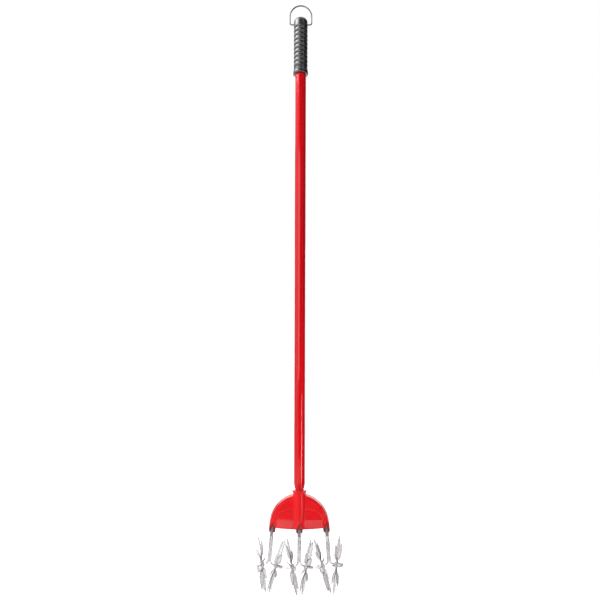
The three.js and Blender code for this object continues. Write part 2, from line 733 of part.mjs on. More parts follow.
// One rod: straight down the leg, round the knee and out as the axle.
function makeRod(side) {
  const knee = new THREE.Vector3(side * rodOffset, 0, 0);
  const outward = X_AXIS.clone().applyEuler(axleTurn(side));
  const bendStart = knee.clone().addScaledVector(Z_AXIS, KNEE_ARM);
  const bendEnd = knee.clone().addScaledVector(outward, KNEE_ARM);
  const top = knee.clone().setZ(rodTop);
  const end = knee.clone().addScaledVector(outward, axleLength);
  const route = new Route();
  route.add(new THREE.LineCurve3(top, bendStart), 1);
  route.add(new THREE.QuadraticBezierCurve3(bendStart, knee, bendEnd), KNEE_STEPS);
  route.add(new THREE.LineCurve3(bendEnd, end), 1);
  return wireAlong(route, ROD_DIAMETER / 2);
}

// How broad a tine is over its barbs, by the share of the way along them.
function tineWidth(share) {
  if (share < BROADEST_SHARE) {
    return THREE.MathUtils.lerp(TINE_ROOT_WIDTH, TINE_BROAD_WIDTH, share / BROADEST_SHARE);
  }
  const past = (share - BROADEST_SHARE) / (1 - BROADEST_SHARE);
  return THREE.MathUtils.lerp(TINE_BROAD_WIDTH, TINE_ROOT_WIDTH, past ** 2);
}

// One tine along +Z: a flat blade with barbed edges that twists out of the plate's plane.
function makeTine() {
  const tipStart = WHEEL_RADIUS - TINE_TIP_LENGTH;
  const pitch = (tipStart - BARB_START_RADIUS) / BARB_COUNT;
  const twistEnd = WHEEL_RADIUS * TWIST_END_SHARE;
  const ring = (radius, width, thickness) => {
    const along = THREE.MathUtils.smoothstep(radius, PLATE_HUB_RADIUS, twistEnd);
    const twist = TINE_TWIST_ANGLE * along;
    return [
      [-1, -1],
      [1, -1],
      [1, 1],
      [-1, 1],
    ].map(([flat, edge]) => {
      const corner = new THREE.Vector3((flat * thickness) / 2, (edge * width) / 2, radius);
      return corner.applyAxisAngle(Z_AXIS, twist);
    });
  };
  const thicknessAt = (radius) =>
    THREE.MathUtils.mapLinear(radius, 0, WHEEL_RADIUS, PLATE_THICKNESS, TINE_TIP_THICKNESS);
  const root = PLATE_HUB_RADIUS - OVERRUN;
  const neck = (PLATE_HUB_RADIUS + BARB_START_RADIUS) / 2;
  const rings = [ring(root, TINE_ROOT_WIDTH, thicknessAt(root))];
  rings.push(ring(neck, TINE_ROOT_WIDTH * BARB_ROOT_SHARE, thicknessAt(neck)));
  for (let barb = 0; barb < BARB_COUNT; barb += 1) {
    const foot = BARB_START_RADIUS + barb * pitch;
    const point = foot + pitch * (1 - BARB_STEP_SHARE);
    const width = tineWidth((barb + 1) / BARB_COUNT);
    rings.push(ring(foot, width * BARB_ROOT_SHARE, thicknessAt(foot)));
    rings.push(ring(point, width, thicknessAt(point)));
  }
  rings.push(ring(tipStart, TINE_ROOT_WIDTH * BARB_ROOT_SHARE, thicknessAt(tipStart)));
  rings.push(ring(WHEEL_RADIUS, TINE_TIP_WIDTH, TINE_TIP_THICKNESS));
  return lofted(rings);
}

// The stamped star: a disc with its tines, bored for the bush. Its axle is X.
function makeStar() {
  const half = PLATE_THICKNESS / 2;
  const disc = turnedOnAxle(
    [
      [0, -half],
      [PLATE_HUB_RADIUS, -half],
      [PLATE_HUB_RADIUS, half],
      [0, half],
    ],
    2 * TINE_COUNT,
  );
  let star = toSolid(disc);
  for (let tine = 0; tine < TINE_COUNT; tine += 1) {
    const turn = (tine * 2 * Math.PI) / TINE_COUNT;
    star = star.add(toSolid(makeTine().rotateX(turn)));
  }
  const reach = new THREE.Vector3(half + OVERRUN, 0, 0);
  const bore = rod(reach.clone().negate(), reach, BUSH_RADIUS + CLEARANCE, SMALL_SIDES);
  return star.subtract(toSolid(bore));
}

// The bush that the star is swaged on, with its flange inside and its sleeve outside.
function makeBush() {
  const half = PLATE_THICKNESS / 2 + CLEARANCE;
  const flangeEnd = -half - BUSH_FLANGE_LENGTH;
  const sleeveEnd = half + BUSH_SLEEVE_LENGTH;
  const profile = [
    [rodRoom, flangeEnd],
    [BUSH_FLANGE_RADIUS, flangeEnd],
    [BUSH_FLANGE_RADIUS, -half],
    [BUSH_RADIUS, -half],
    [BUSH_RADIUS, half],
    [BUSH_SLEEVE_RADIUS, half],
    [BUSH_SLEEVE_RADIUS, sleeveEnd],
    [rodRoom, sleeveEnd],
    [rodRoom, flangeEnd],
  ];
  return turnedOnAxle(profile, SMALL_SIDES);
}

function makeWasher() {
  const outer = -PLATE_THICKNESS / 2 - CLEARANCE - BUSH_FLANGE_LENGTH - CLEARANCE;
  const inner = outer - WASHER_THICKNESS;
  const profile = [
    [rodRoom, inner],
    [WASHER_RADIUS, inner],
    [WASHER_RADIUS, outer],
    [rodRoom, outer],
    [rodRoom, inner],
  ];
  return turnedOnAxle(profile, SMALL_SIDES);
}

// The cap pushed on the axle's end, closed and slightly domed.
function makeCap() {
  const floor = capMouth + AXLE_IN_CAP + CLEARANCE;
  const end = capMouth + CAP_LENGTH;
  const profile = [
    [rodRoom, capMouth],
    [CAP_RADIUS, capMouth],
    [CAP_RADIUS, end - CAP_DOME],
    [CAP_RADIUS / 2, end],
    [0, end],
    [0, floor],
    [rodRoom, floor],
    [rodRoom, capMouth],
  ];
  return turnedOnAxle(profile, SMALL_SIDES);
}

const tool = new THREE.Group();
tool.position.z = -hangHeight;

addPiece(tool, 'handle_tube', makeTube(), 'paintedRed');
addPiece(tool, 'tube_end_plug', makePlug(), 'blackPlastic');
addPiece(tool, 'handle_grip', makeGrip(), 'rubber');
addPiece(tool, 'hang_ring', makeRing(), 'plated');
addPiece(tool, 'tine_head', makeHead(), 'mouldedRed');
addPiece(tool, 'neck_rivet', makeRivet(), 'plated');

const star = makeStar();
for (const [place, leg] of ['left_leg', 'middle_leg', 'right_leg'].entries()) {
  const legGroup = new THREE.Group();
  legFrame(place - 1).decompose(legGroup.position, legGroup.quaternion, legGroup.scale);
  tool.add(legGroup);
  addPiece(legGroup, `${leg}_ferrule`, makeFerrule(), 'greyPlastic');
  for (const [end, hand] of ['left', 'right'].entries()) {
    const side = end === 0 ? -1 : 1;
    const phase = side * THREE.MathUtils.degToRad(WHEEL_PHASES[leg][end]);
    addPiece(legGroup, `${leg}_${hand}_rod`, makeRod(side), 'plated');
    const axle = new THREE.Group();
    axle.rotation.copy(axleTurn(side));
    const outward = X_AXIS.clone().applyEuler(axle.rotation);
    axle.position.set(side * rodOffset, 0, 0).addScaledVector(outward, wheelDistance);
    legGroup.add(axle);
    addPiece(axle, `${leg}_${hand}_washer`, makeWasher(), 'plated');
    addPiece(axle, `${leg}_${hand}_cap`, makeCap(), 'plated');
    const wheel = new THREE.Group();
    wheel.rotation.x = phase;
    axle.add(wheel);
    addPiece(wheel, `${leg}_${hand}_star`, star, 'galvanised');
    addPiece(wheel, `${leg}_${hand}_bush`, makeBush(), 'galvanised');
  }
}

export default tool;
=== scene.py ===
# Looks of the rotary star-wheel cultivator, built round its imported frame.
# Piece sizes are in millimetres; every place comes from the frame, in metres.
import json
import math

import bmesh
import bpy
from mathutils import Matrix, Vector


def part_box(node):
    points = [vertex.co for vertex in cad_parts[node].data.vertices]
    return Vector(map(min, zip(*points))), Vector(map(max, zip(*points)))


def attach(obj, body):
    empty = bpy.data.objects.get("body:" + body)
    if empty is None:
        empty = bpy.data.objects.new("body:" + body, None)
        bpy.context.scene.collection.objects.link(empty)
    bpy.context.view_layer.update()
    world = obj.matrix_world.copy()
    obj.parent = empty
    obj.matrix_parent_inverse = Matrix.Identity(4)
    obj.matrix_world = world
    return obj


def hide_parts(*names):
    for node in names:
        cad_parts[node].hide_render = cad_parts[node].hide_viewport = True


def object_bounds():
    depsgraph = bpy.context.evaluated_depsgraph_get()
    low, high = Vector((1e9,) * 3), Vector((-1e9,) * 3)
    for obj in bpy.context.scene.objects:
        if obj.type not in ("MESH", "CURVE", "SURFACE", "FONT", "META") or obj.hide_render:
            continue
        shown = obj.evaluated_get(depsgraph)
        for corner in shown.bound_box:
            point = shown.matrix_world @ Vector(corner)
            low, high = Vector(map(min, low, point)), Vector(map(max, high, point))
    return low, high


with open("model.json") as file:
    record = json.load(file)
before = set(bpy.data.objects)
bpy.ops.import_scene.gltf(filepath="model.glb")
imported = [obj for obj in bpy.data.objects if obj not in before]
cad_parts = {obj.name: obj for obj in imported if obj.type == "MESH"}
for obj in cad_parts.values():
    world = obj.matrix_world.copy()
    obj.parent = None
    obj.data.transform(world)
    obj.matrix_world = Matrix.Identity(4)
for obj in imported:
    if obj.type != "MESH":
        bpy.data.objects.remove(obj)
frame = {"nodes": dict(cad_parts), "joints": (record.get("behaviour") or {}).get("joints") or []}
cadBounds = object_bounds()

mm = 0.001
mergeDistance = 0.002  # points nearer than this, in millimetres, become one
cutterReach = 2  # how far a cutting shape runs past what it cuts, in millimetres
fullTurn = 2 * math.pi
quarterTurn = math.pi / 2
xAxis = Vector((1, 0, 0))
yAxis = Vector((0, 1, 0))
zAxis = Vector((0, 0, 1))
joints = {joint["name"]: joint for joint in frame["joints"]}
legNames = ("left_leg", "middle_leg", "right_leg")
wornSpan = (0.52, 0.6)  # from even surface to worn edge, in Blender's Pointiness


# Helpers for meshes

def scaled(place):
    return place @ Matrix.Scale(mm, 4)


def lifted(height):
    return Matrix.Translation((0, 0, height))


def quarterArc(steps, first=0):
    # (sine, cosine) at even steps of a quarter turn
    angles = [quarterTurn * step / steps for step in range(first, steps + 1)]
    return [(math.sin(angle), math.cos(angle)) for angle in angles]


def only(items, kind):
    return [item for item in items if isinstance(item, kind)]


def addObject(name, data):
    made = bpy.data.objects.new(name, data)
    bpy.context.scene.collection.objects.link(made)
    return made


def meshObject(bm, name):
    mesh = bpy.data.meshes.new(name)
    bm.to_mesh(mesh)
    bm.free()
    return addObject(name, mesh)


def cleanFaces(bm):
    bmesh.ops.remove_doubles(bm, verts=bm.verts[:], dist=mergeDistance)
    bmesh.ops.recalc_face_normals(bm, faces=bm.faces[:])


def rememberPlace(bm):
    # the piece's own millimetres, for patterns that follow its shape
    layer = bm.verts.layers.float_vector.new("localPlace")
    for vert in bm.verts:
        vert[layer] = vert.co


def finishPiece(made, body, node, material, sharpAngle=40):
    mesh = made.data
    mesh.materials.clear()
    mesh.materials.append(material)
    mesh.shade_smooth()
    mesh.set_sharp_from_angle(angle=math.radians(sharpAngle))
    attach(made, body)
    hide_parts(node)


def placedPiece(bm, name, place, body, node, material, sharpAngle=40):
    cleanFaces(bm)
    rememberPlace(bm)
    bmesh.ops.transform(bm, matrix=scaled(place), verts=bm.verts[:])
    finishPiece(meshObject(bm, name), body, node, material, sharpAngle)


def placedTool(bm, name, place):
    bmesh.ops.transform(bm, matrix=place, verts=bm.verts[:])
    return meshObject(bm, name)


def turnedShell(profile, steps):
    # a chain of (radius, height) points spun about Z
    bm = bmesh.new()
    verts = [bm.verts.new((radius, 0, height)) for radius, height in profile]
    edges = [bm.edges.new(pair) for pair in zip(verts, verts[1:])]
    bmesh.ops.spin(bm, geom=verts + edges, cent=(0, 0, 0), axis=zAxis,
                   angle=fullTurn, steps=steps, use_merge=True)
    cleanFaces(bm)
    return bm


def roundCutter(radius, low, high, matrix, sides=64):
    bm = bmesh.new()
    bmesh.ops.create_cone(bm, cap_ends=True, segments=sides, radius1=radius, radius2=radius,
                          depth=high - low, matrix=matrix @ lifted((low + high) / 2))
    return meshObject(bm, "cutter")


def softenEdges(bm, width, angle, segments=3):
    # a bevel along every crease that is sharper than the angle
    creases = [edge for edge in bm.edges
               if len(edge.link_faces) == 2 and edge.calc_face_angle(0) > math.radians(angle)]
    bmesh.ops.bevel(bm, geom=creases, offset=width, affect="EDGES", segments=segments,
                    profile=0.5, material=-1, clamp_overlap=True)


def ontoAxle(bm):
    # what was turned about Z now lies along X
    bmesh.ops.rotate(bm, verts=bm.verts[:], cent=(0, 0, 0),
                     matrix=Matrix.Rotation(quarterTurn, 3, "Y"))


def combine(target, tools, operation):
    for tool in tools:
        modifier = target.modifiers.new(operation, "BOOLEAN")
        modifier.object = tool
        modifier.operation = operation
        modifier.solver = "EXACT"
    keepResult(target)
    for tool in tools:
        bpy.data.objects.remove(tool)


def keepResult(target):
    graph = bpy.context.evaluated_depsgraph_get()
    result = bpy.data.meshes.new_from_object(target.evaluated_get(graph))
    target.modifiers.clear()
    target.data = result


def startWire(point, direction, radius, sides):
    bm = bmesh.new()
    turn = direction.to_track_quat("Z", "Y").to_matrix().to_4x4()
    bmesh.ops.create_circle(bm, radius=radius, segments=sides,
                            matrix=Matrix.Translation(point) @ turn)
    return bm, bm.edges[:]


def straightOn(bm, edges, step):
    grown = bmesh.ops.extrude_edge_only(bm, edges=edges)["geom"]
    bmesh.ops.translate(bm, verts=only(grown, bmesh.types.BMVert), vec=step)
    return only(grown, bmesh.types.BMEdge)


def bendOn(bm, edges, centre, axis, angle, steps):
    verts = list(dict.fromkeys(vert for edge in edges for vert in edge.verts))
    last = bmesh.ops.spin(bm, geom=verts + edges, cent=centre, axis=axis,
                          angle=angle, steps=steps)["geom_last"]
    return only(last, bmesh.types.BMEdge)


def closeWire(bm, rounding):
    openEdges = [edge for edge in bm.edges if edge.is_boundary]
    bmesh.ops.holes_fill(bm, edges=openEdges, sides=0)
    cleanFaces(bm)
    softenEdges(bm, rounding, angle=50, segments=2)


# Helpers for materials

def setInput(tree, socket, value):
    if isinstance(value, bpy.types.NodeSocket):
        tree.links.new(value, socket)
    else:
        socket.default_value = value


def addNode(tree, kind, inputs=None, **settings):
    made = tree.nodes.new("ShaderNode" + kind)
    for key, value in settings.items():
        setattr(made, key, value)
    for key, value in (inputs or {}).items():
        setInput(tree, made.inputs[key], value)
    return made


def linear(red, green, blue):
    # an 8-bit colour as the screen shows it, in the renderer's own numbers
    def channel(value):
        share = value / 255
        return share / 12.92 if share <= 0.04045 else ((share + 0.055) / 1.055) ** 2.4
    return (channel(red), channel(green), channel(blue), 1)


def objectPoint(tree, lengthwise=1):
    # a small lengthwise draws the pattern out along the handle
    place = addNode(tree, "TexCoord").outputs["Object"]
    return addNode(tree, "Mapping",
                   {"Vector": place, "Scale": (1, 1, lengthwise)}).outputs["Vector"]


def localPoint(tree, stretch=(1, 1, 1)):
    # the place that rememberPlace left, which turns and slides with the piece
    place = addNode(tree, "Attribute", attribute_name="localPlace").outputs["Vector"]
    return addNode(tree, "Mapping", {"Vector": place, "Scale": stretch}).outputs["Vector"]


def markedShare(tree, name):
    # a value from 0 to 1 that the mesh code left on the piece's points
    return addNode(tree, "Attribute", attribute_name=name).outputs["Fac"]


def noise(tree, point, scale, detail, roughness=0.5):
    return addNode(tree, "TexNoise", {"Vector": point, "Scale": scale, "Detail": detail,
                                      "Roughness": roughness}).outputs["Fac"]


def remap(tree, value, span, target=(0, 1)):
    return addNode(tree, "MapRange", {"Value": value, "From Min": span[0], "From Max": span[1],
                                      "To Min": target[0], "To Max": target[1]},
                   clamp=True).outputs["Result"]


def blendColours(tree, share, first, second):
    # sockets 6 and 7 take a Mix node's two colours, and its output 2 gives the blend
    return addNode(tree, "Mix", {0: share, 6: first, 7: second}, data_type="RGBA").outputs[2]


def calculate(tree, operation, first, second):
    return addNode(tree, "Math", {0: first, 1: second}, operation=operation).outputs[0]


def mottled(tree, pattern, span, under, over, most=1):
    # one colour over another where the pattern is strong
    return blendColours(tree, remap(tree, pattern, span, (0, most)), under, over)


def glazed(tree, share, strength, under, over):
    return blendColours(tree, calculate(tree, "MULTIPLY", share, strength), under, over)


def bump(tree, height, distance, strength, under=None):
    inputs = {"Height": height, "Distance": distance, "Strength": strength}
    if under is not None:
        inputs["Normal"] = under
    return addNode(tree, "Bump", inputs).outputs["Normal"]


def worn(tree):
    # 1 on edges that stick out, where handling polishes and chips the finish
    return remap(tree, addNode(tree, "NewGeometry").outputs["Pointiness"], wornSpan)


def startMaterial(name):
    made = bpy.data.materials.new(name)
    made.use_nodes = True
    tree = made.node_tree
    shader = tree.nodes["Principled BSDF"]
    return made, tree, shader


def feed(tree, shader, **sockets):
    names = {"colour": "Base Color", "rough": "Roughness", "normal": "Normal",
             "metal": "Metallic", "coat": "Coat Weight", "coatRough": "Coat Roughness",
             "specular": "Specular IOR Level"}
    for key, value in sockets.items():
        setInput(tree, shader.inputs[names[key]], value)


# Finishes. A pattern is its scale in waves to the metre, its detail and its roughness, and
# a bump is its depth in metres and its strength. The tube's sizes stand here too, because
# the painted shade lies in its groove.

softSpan = (0.35, 0.7)  # where most patterns fade in
tube = {"diameter": 25.4, "wall": 1.2, "neckDiameter": 22, "neckLength": 58, "stepDiameter": 23.9,
        "stepTopDiameter": 23, "stepLength": 5, "taper": 1.4, "grooveFrom": 51, "grooveTo": 54.6,
        "grooveDepth": 1, "grooveSlope": 0.5, "rounding": 0.4, "hold": 3, "sides": 96}
paint = {"red": linear(214, 10, 22), "deep": linear(202, 8, 18), "paintedShade": linear(190, 10, 20),
         "streaks": (60, 3), "peel": (900, 2), "scuffs": (1500, 3, 0.7), "scuffSpan": (0.5, 0.8),
         "paintedShadeStart": (-0.6, 0.4), "paintedShadeEnd": (0, 1), "rough": (0.18, 0.26),
         "bump": (0.00001, 0.2), "gloss": {"specular": 0.05, "coat": 0.5, "coatRough": 0.05}}


def makeTubePaint():
    made, tree, shader = startMaterial("tubePaint")
    streaks = noise(tree, objectPoint(tree, lengthwise=0.15), *paint["streaks"])
    scuffs = noise(tree, objectPoint(tree, lengthwise=0.04), *paint["scuffs"])
    peel = noise(tree, objectPoint(tree), *paint["peel"])
    colour = mottled(tree, streaks, softSpan, paint["red"], paint["deep"])
    # painted shade: the groove on the neck, just above the head's collar, is darkened
    along = addNode(tree, "SeparateXYZ", {"Vector": localPoint(tree)}).outputs["Z"]
    above = remap(tree, along, [tube["grooveFrom"] + off for off in paint["paintedShadeStart"]])
    under = remap(tree, along, [tube["grooveTo"] + off for off in paint["paintedShadeEnd"]], (1, 0))
    colour = glazed(tree, above, under, colour, paint["paintedShade"])
    feed(tree, shader, colour=colour, rough=remap(tree, scuffs, paint["scuffSpan"], paint["rough"]),
         normal=bump(tree, peel, *paint["bump"]), **paint["gloss"])
    return made


moulding = {"red": linear(230, 12, 22), "pale": linear(238, 40, 44), "dust": linear(190, 40, 38),
            "paintedSheen": linear(230, 82, 84), "paintedShade": linear(150, 8, 16), "grain": (2600, 3, 0.6),
            "flow": (30, 3), "specks": (420, 5, 0.7), "paleSpan": (0.3, 0.75), "palest": 0.35,
            "dustSpan": (0.6, 0.8), "dustiest": 0.35, "paintedSheenSpan": (0.3, 0.7),
            "paintedSheenShare": (0.6, 1), "wear": 0.5, "deepestShade": 0.8, "roughSpan": (0.35, 0.75),
            "rough": (0.2, 0.32), "specular": 0.22, "grainBump": (0.00005, 0.4),
            "flowBump": (0.0004, 0.25)}


def makeMouldedRed():
    made, tree, shader = startMaterial("mouldedRed")
    here = objectPoint(tree)
    flow = noise(tree, objectPoint(tree, lengthwise=0.5), *moulding["flow"])
    specks = noise(tree, here, *moulding["specks"])
    colour = mottled(tree, flow, moulding["paleSpan"], moulding["red"], moulding["pale"],
                     moulding["palest"])
    colour = mottled(tree, specks, moulding["dustSpan"], colour, moulding["dust"],
                     moulding["dustiest"])
    # painted sheen: the skirt band, its top edge and the panel arches are glazed paler, as if
    # catching light
    paintedSheen = remap(tree, specks, moulding["paintedSheenSpan"], moulding["paintedSheenShare"])
    colour = glazed(tree, markedShare(tree, "paintedSheenBand"), paintedSheen, colour, moulding["paintedSheen"])
    colour = glazed(tree, worn(tree), moulding["wear"], colour, moulding["pale"])
    # painted shade in the rim groove, along the left side of the column and at the foot
    colour = glazed(tree, markedShare(tree, "grooveShade"), moulding["deepestShade"], colour,
                    moulding["paintedShade"])
    fine = bump(tree, noise(tree, here, *moulding["grain"]), *moulding["grainBump"])
    feed(tree, shader, colour=colour, specular=moulding["specular"],
         rough=remap(tree, specks, moulding["roughSpan"], moulding["rough"]),
         normal=bump(tree, flow, *moulding["flowBump"], fine))
    return made


rubber = {"dark": linear(36, 34, 35), "grey": linear(48, 45, 47), "dust": linear(84, 80, 82),
          "grain": (3200, 3, 0.6), "hands": (55, 4), "specks": (900, 4, 0.7), "greyest": 0.6,
          "dustSpan": (0.62, 0.78), "dustiest": 0.1, "rough": (0.24, 0.34),
          "bump": (0.00002, 0.2), "gloss": {"specular": 0.8, "coat": 0.7, "coatRough": 0.22}}


def makeGripRubber():
    made, tree, shader = startMaterial("gripRubber")
    here = objectPoint(tree)
    hands = noise(tree, objectPoint(tree, lengthwise=0.6), *rubber["hands"])
    specks = noise(tree, here, *rubber["specks"])
    colour = mottled(tree, hands, softSpan, rubber["dark"], rubber["grey"], rubber["greyest"])
    colour = mottled(tree, specks, rubber["dustSpan"], colour, rubber["dust"], rubber["dustiest"])
    feed(tree, shader, colour=colour, rough=remap(tree, hands, softSpan, rubber["rough"]),
         normal=bump(tree, noise(tree, here, *rubber["grain"]), *rubber["bump"]),
         **rubber["gloss"])
    return made


plugFinish = {"plain": linear(28, 28, 30), "patch": linear(44, 43, 45), "edge": linear(44, 43, 45),
              "grain": (1800, 3), "patches": (160, 3), "patchSpan": (0.4, 0.7), "wear": 0,
              "rough": (0.4, 0.6), "specular": 0.5}
ferruleFinish = {"plain": linear(128, 126, 127), "patch": linear(98, 96, 98),
                 "edge": linear(176, 174, 176), "grain": (2400, 3, 0.6), "patches": (170, 4),
                 "patchSpan": softSpan, "wear": 0.6, "rough": (0.26, 0.4), "specular": 0.6}
hardPlastic = {"roughSpan": (0.3, 0.7), "bump": (0.00006, 0.5)}


def makeHardPlastic(name, finish):
    made, tree, shader = startMaterial(name)
    here = objectPoint(tree)
    patches = noise(tree, here, *finish["patches"])
    colour = mottled(tree, patches, finish["patchSpan"], finish["plain"], finish["patch"])
    colour = glazed(tree, worn(tree), finish["wear"], colour, finish["edge"])
    feed(tree, shader, colour=colour, specular=finish["specular"],
         rough=remap(tree, patches, hardPlastic["roughSpan"], finish["rough"]),
         normal=bump(tree, noise(tree, here, *finish["grain"]), *hardPlastic["bump"]))
    return made


plated = {"worn": linear(240, 240, 241), "wear": 0.6, "lines": (2200, 3, 0.65),
          "bloom": (210, 5, 0.65), "bloomSpan": (0.42, 0.72), "pits": (1400, 2),
          "lineBump": (0.00001, 0.2), "pitBump": (0.00001, 0.15)}


def makeBrightSteel(name, tone, dull, rough, drawn=1):
    # zinc-plated steel; a small drawn stretches its fine lines along the part
    made, tree, shader = startMaterial(name)
    here = objectPoint(tree)
    bloom = noise(tree, here, *plated["bloom"])
    colour = mottled(tree, bloom, plated["bloomSpan"], tone, dull)
    colour = glazed(tree, worn(tree), plated["wear"], colour, plated["worn"])
    lines = noise(tree, objectPoint(tree, lengthwise=drawn), *plated["lines"])
    fine = bump(tree, lines, *plated["lineBump"])
    feed(tree, shader, colour=colour, rough=remap(tree, bloom, softSpan, rough), metal=1.0,
         normal=bump(tree, noise(tree, here, *plated["pits"]), *plated["pitBump"], fine))
    return made


# Star wheels: spangled zinc, darker on the sheared edges, with a painted shade over each tine's
# margin. The scratches count waves to the millimetre, as they lie in the wheel's own millimetres.
stamped = {"light": linear(254, 253, 254), "mid": linear(246, 244, 246),
           "deep": linear(210, 204, 208), "edgeShadeColour": linear(40, 32, 36), "spangle": 420,
           "spangleSpan": (0.1, 0.9), "bloom": (150, 5, 0.7), "bloomSpan": (0.5, 0.75),
           "deepest": 0.8, "scratches": (3.2, 4, 0.75), "scratchStretch": (1, 0.25, 0.25),
           "wear": 0.8, "edgeShadeSpan": (0.15, 0.8), "darkest": 0.9, "rough": (0.2, 0.38),
           "edgeShadeRough": 0.15, "metal": 0.3, "bump": (0.0001, 0.4)}


def makeStarSteel():
    made, tree, shader = startMaterial("starSteel")
    here = objectPoint(tree)
    spangle = addNode(tree, "TexVoronoi", {"Vector": here, "Scale": stamped["spangle"]},
                      feature="SMOOTH_F1").outputs["Color"]
    cells = addNode(tree, "SeparateColor", {"Color": spangle}).outputs["Red"]
    bloom = noise(tree, here, *stamped["bloom"])
    scratches = noise(tree, localPoint(tree, stamped["scratchStretch"]), *stamped["scratches"])
    edgeShadeMask = markedShare(tree, "edgeShadeShare")
    colour = mottled(tree, cells, stamped["spangleSpan"], stamped["light"], stamped["mid"])
    colour = mottled(tree, bloom, stamped["bloomSpan"], colour, stamped["deep"], stamped["deepest"])
    colour = glazed(tree, worn(tree), stamped["wear"], colour, stamped["light"])
    # painted shade: a dark margin along each tine's edges, taking in the darker sheared edge itself
    colour = mottled(tree, edgeShadeMask, stamped["edgeShadeSpan"], colour, stamped["edgeShadeColour"], stamped["darkest"])
    rough = calculate(tree, "ADD", remap(tree, scratches, softSpan, stamped["rough"]),
                      calculate(tree, "MULTIPLY", edgeShadeMask, stamped["edgeShadeRough"]))
    feed(tree, shader, colour=colour, rough=rough, metal=stamped["metal"],
         normal=bump(tree, scratches, *stamped["bump"]))
    return made


# Bushes, washers and caps: fine lathe rings round the axle, counted to the millimetre
turned = {"worn": linear(238, 238, 240), "wear": 0.6, "rings": (1.4, 2, 0.6),
          "ringStretch": (6, 0.1, 0.1), "bloom": (260, 5, 0.65), "bloomSpan": (0.4, 0.7),
          "rough": (0.2, 0.34), "metal": 0.65, "bump": (0.00004, 0.4)}


def makeTurnedSteel(name, tone, dull):
    made, tree, shader = startMaterial(name)
    rings = noise(tree, localPoint(tree, turned["ringStretch"]), *turned["rings"])
    bloom = noise(tree, objectPoint(tree), *turned["bloom"])
    colour = mottled(tree, bloom, turned["bloomSpan"], tone, dull)
    colour = glazed(tree, worn(tree), turned["wear"], colour, turned["worn"])
    feed(tree, shader, colour=colour, rough=remap(tree, bloom, softSpan, turned["rough"]),
         metal=turned["metal"], normal=bump(tree, rings, *turned["bump"]))
    return made


tubePaint = makeTubePaint()
mouldedRed = makeMouldedRed()
gripRubber = makeGripRubber()
plugPlastic = makeHardPlastic("plugPlastic", plugFinish)
ferrulePlastic = makeHardPlastic("ferrulePlastic", ferruleFinish)
ringSteel = makeBrightSteel("ringSteel", linear(132, 132, 134), linear(92, 92, 95), (0.2, 0.34))
rodSteel = makeBrightSteel("rodSteel", linear(226, 222, 224), linear(190, 184, 187), (0.12, 0.22),
                           drawn=0.04)
rivetSteel = makeBrightSteel("rivetSteel", linear(200, 200, 204), linear(150, 150, 154),
                             (0.2, 0.36))
starSteel = makeStarSteel()
bushSteel = makeTurnedSteel("bushSteel", linear(232, 230, 232), linear(190, 186, 190))
washerSteel = makeTurnedSteel("washerSteel", linear(214, 212, 214), linear(160, 157, 160))
capSteel = makeTurnedSteel("capSteel", linear(240, 238, 240), linear(202, 198, 202))
print("finishes mixed")


# Handle tube, with its rolled step and neck

def makeTube():
    low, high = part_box("handle_tube")
    length = (high.z - low.z) / mm
    radius, neck = tube["diameter"] / 2, tube["neckDiameter"] / 2
    step, stepUpper = tube["stepDiameter"] / 2, tube["stepTopDiameter"] / 2
    stepTop = tube["neckLength"] + tube["stepLength"]
    inside = [(neck, 0), (neck, tube["neckLength"] - tube["taper"]), (step, tube["neckLength"]),
              (stepUpper, stepTop - tube["taper"]), (radius, stepTop),
              (radius, stepTop + tube["hold"]), (radius, length - tube["hold"]), (radius, length)]
    floor, slope = neck - tube["grooveDepth"], tube["grooveSlope"]
    groove = [(neck, tube["grooveFrom"]), (floor, tube["grooveFrom"] + slope),
              (floor, tube["grooveTo"]), (neck, tube["grooveTo"] + slope)]
    outside = inside[:1] + groove + inside[1:]
    inside = [(r - tube["wall"], h) for r, h in reversed(inside)]
    bm = turnedShell(outside + inside + outside[:1], tube["sides"])
    softenEdges(bm, tube["rounding"], angle=12)
    placedPiece(bm, "handleTube", lifted(low.z), "handle", "handle_tube",
                tubePaint)


makeTube()
print("tube turned")


# Rubber grip: rounded ribs between narrow grooves, a domed top and a rolled foot

grip = {"diameter": 32.6, "bore": 26, "domeRise": 9.5, "crown": 5, "firstGroove": 24.5,
        "lastGroove": 16.6, "grooves": 10, "depth": 1.7, "fullness": 1.5, "finePitch": 2.6,
        "fineDepth": 0.6, "fineGap": 0.1, "fineFullness": 0.6, "fineRibs": 2, "fineSteps": 6,
        "flangeDiameter": 35, "flangeLength": 9, "roll": 2.25, "rollSteps": 6, "plugTop": 8.3,
        "plugDepth": 11.3, "plugRoom": 0.3, "ribSteps": 12, "domeSteps": 12, "sides": 96,
        "ringHole": 3.6, "holeLength": 60, "holeSides": 32}


def ribRadius(share):
    # from one groove's middle, share 0, to the next, share 1
    away = abs(2 * share - 1) ** (2 * grip["fullness"])
    return grip["diameter"] / 2 - grip["depth"] * away


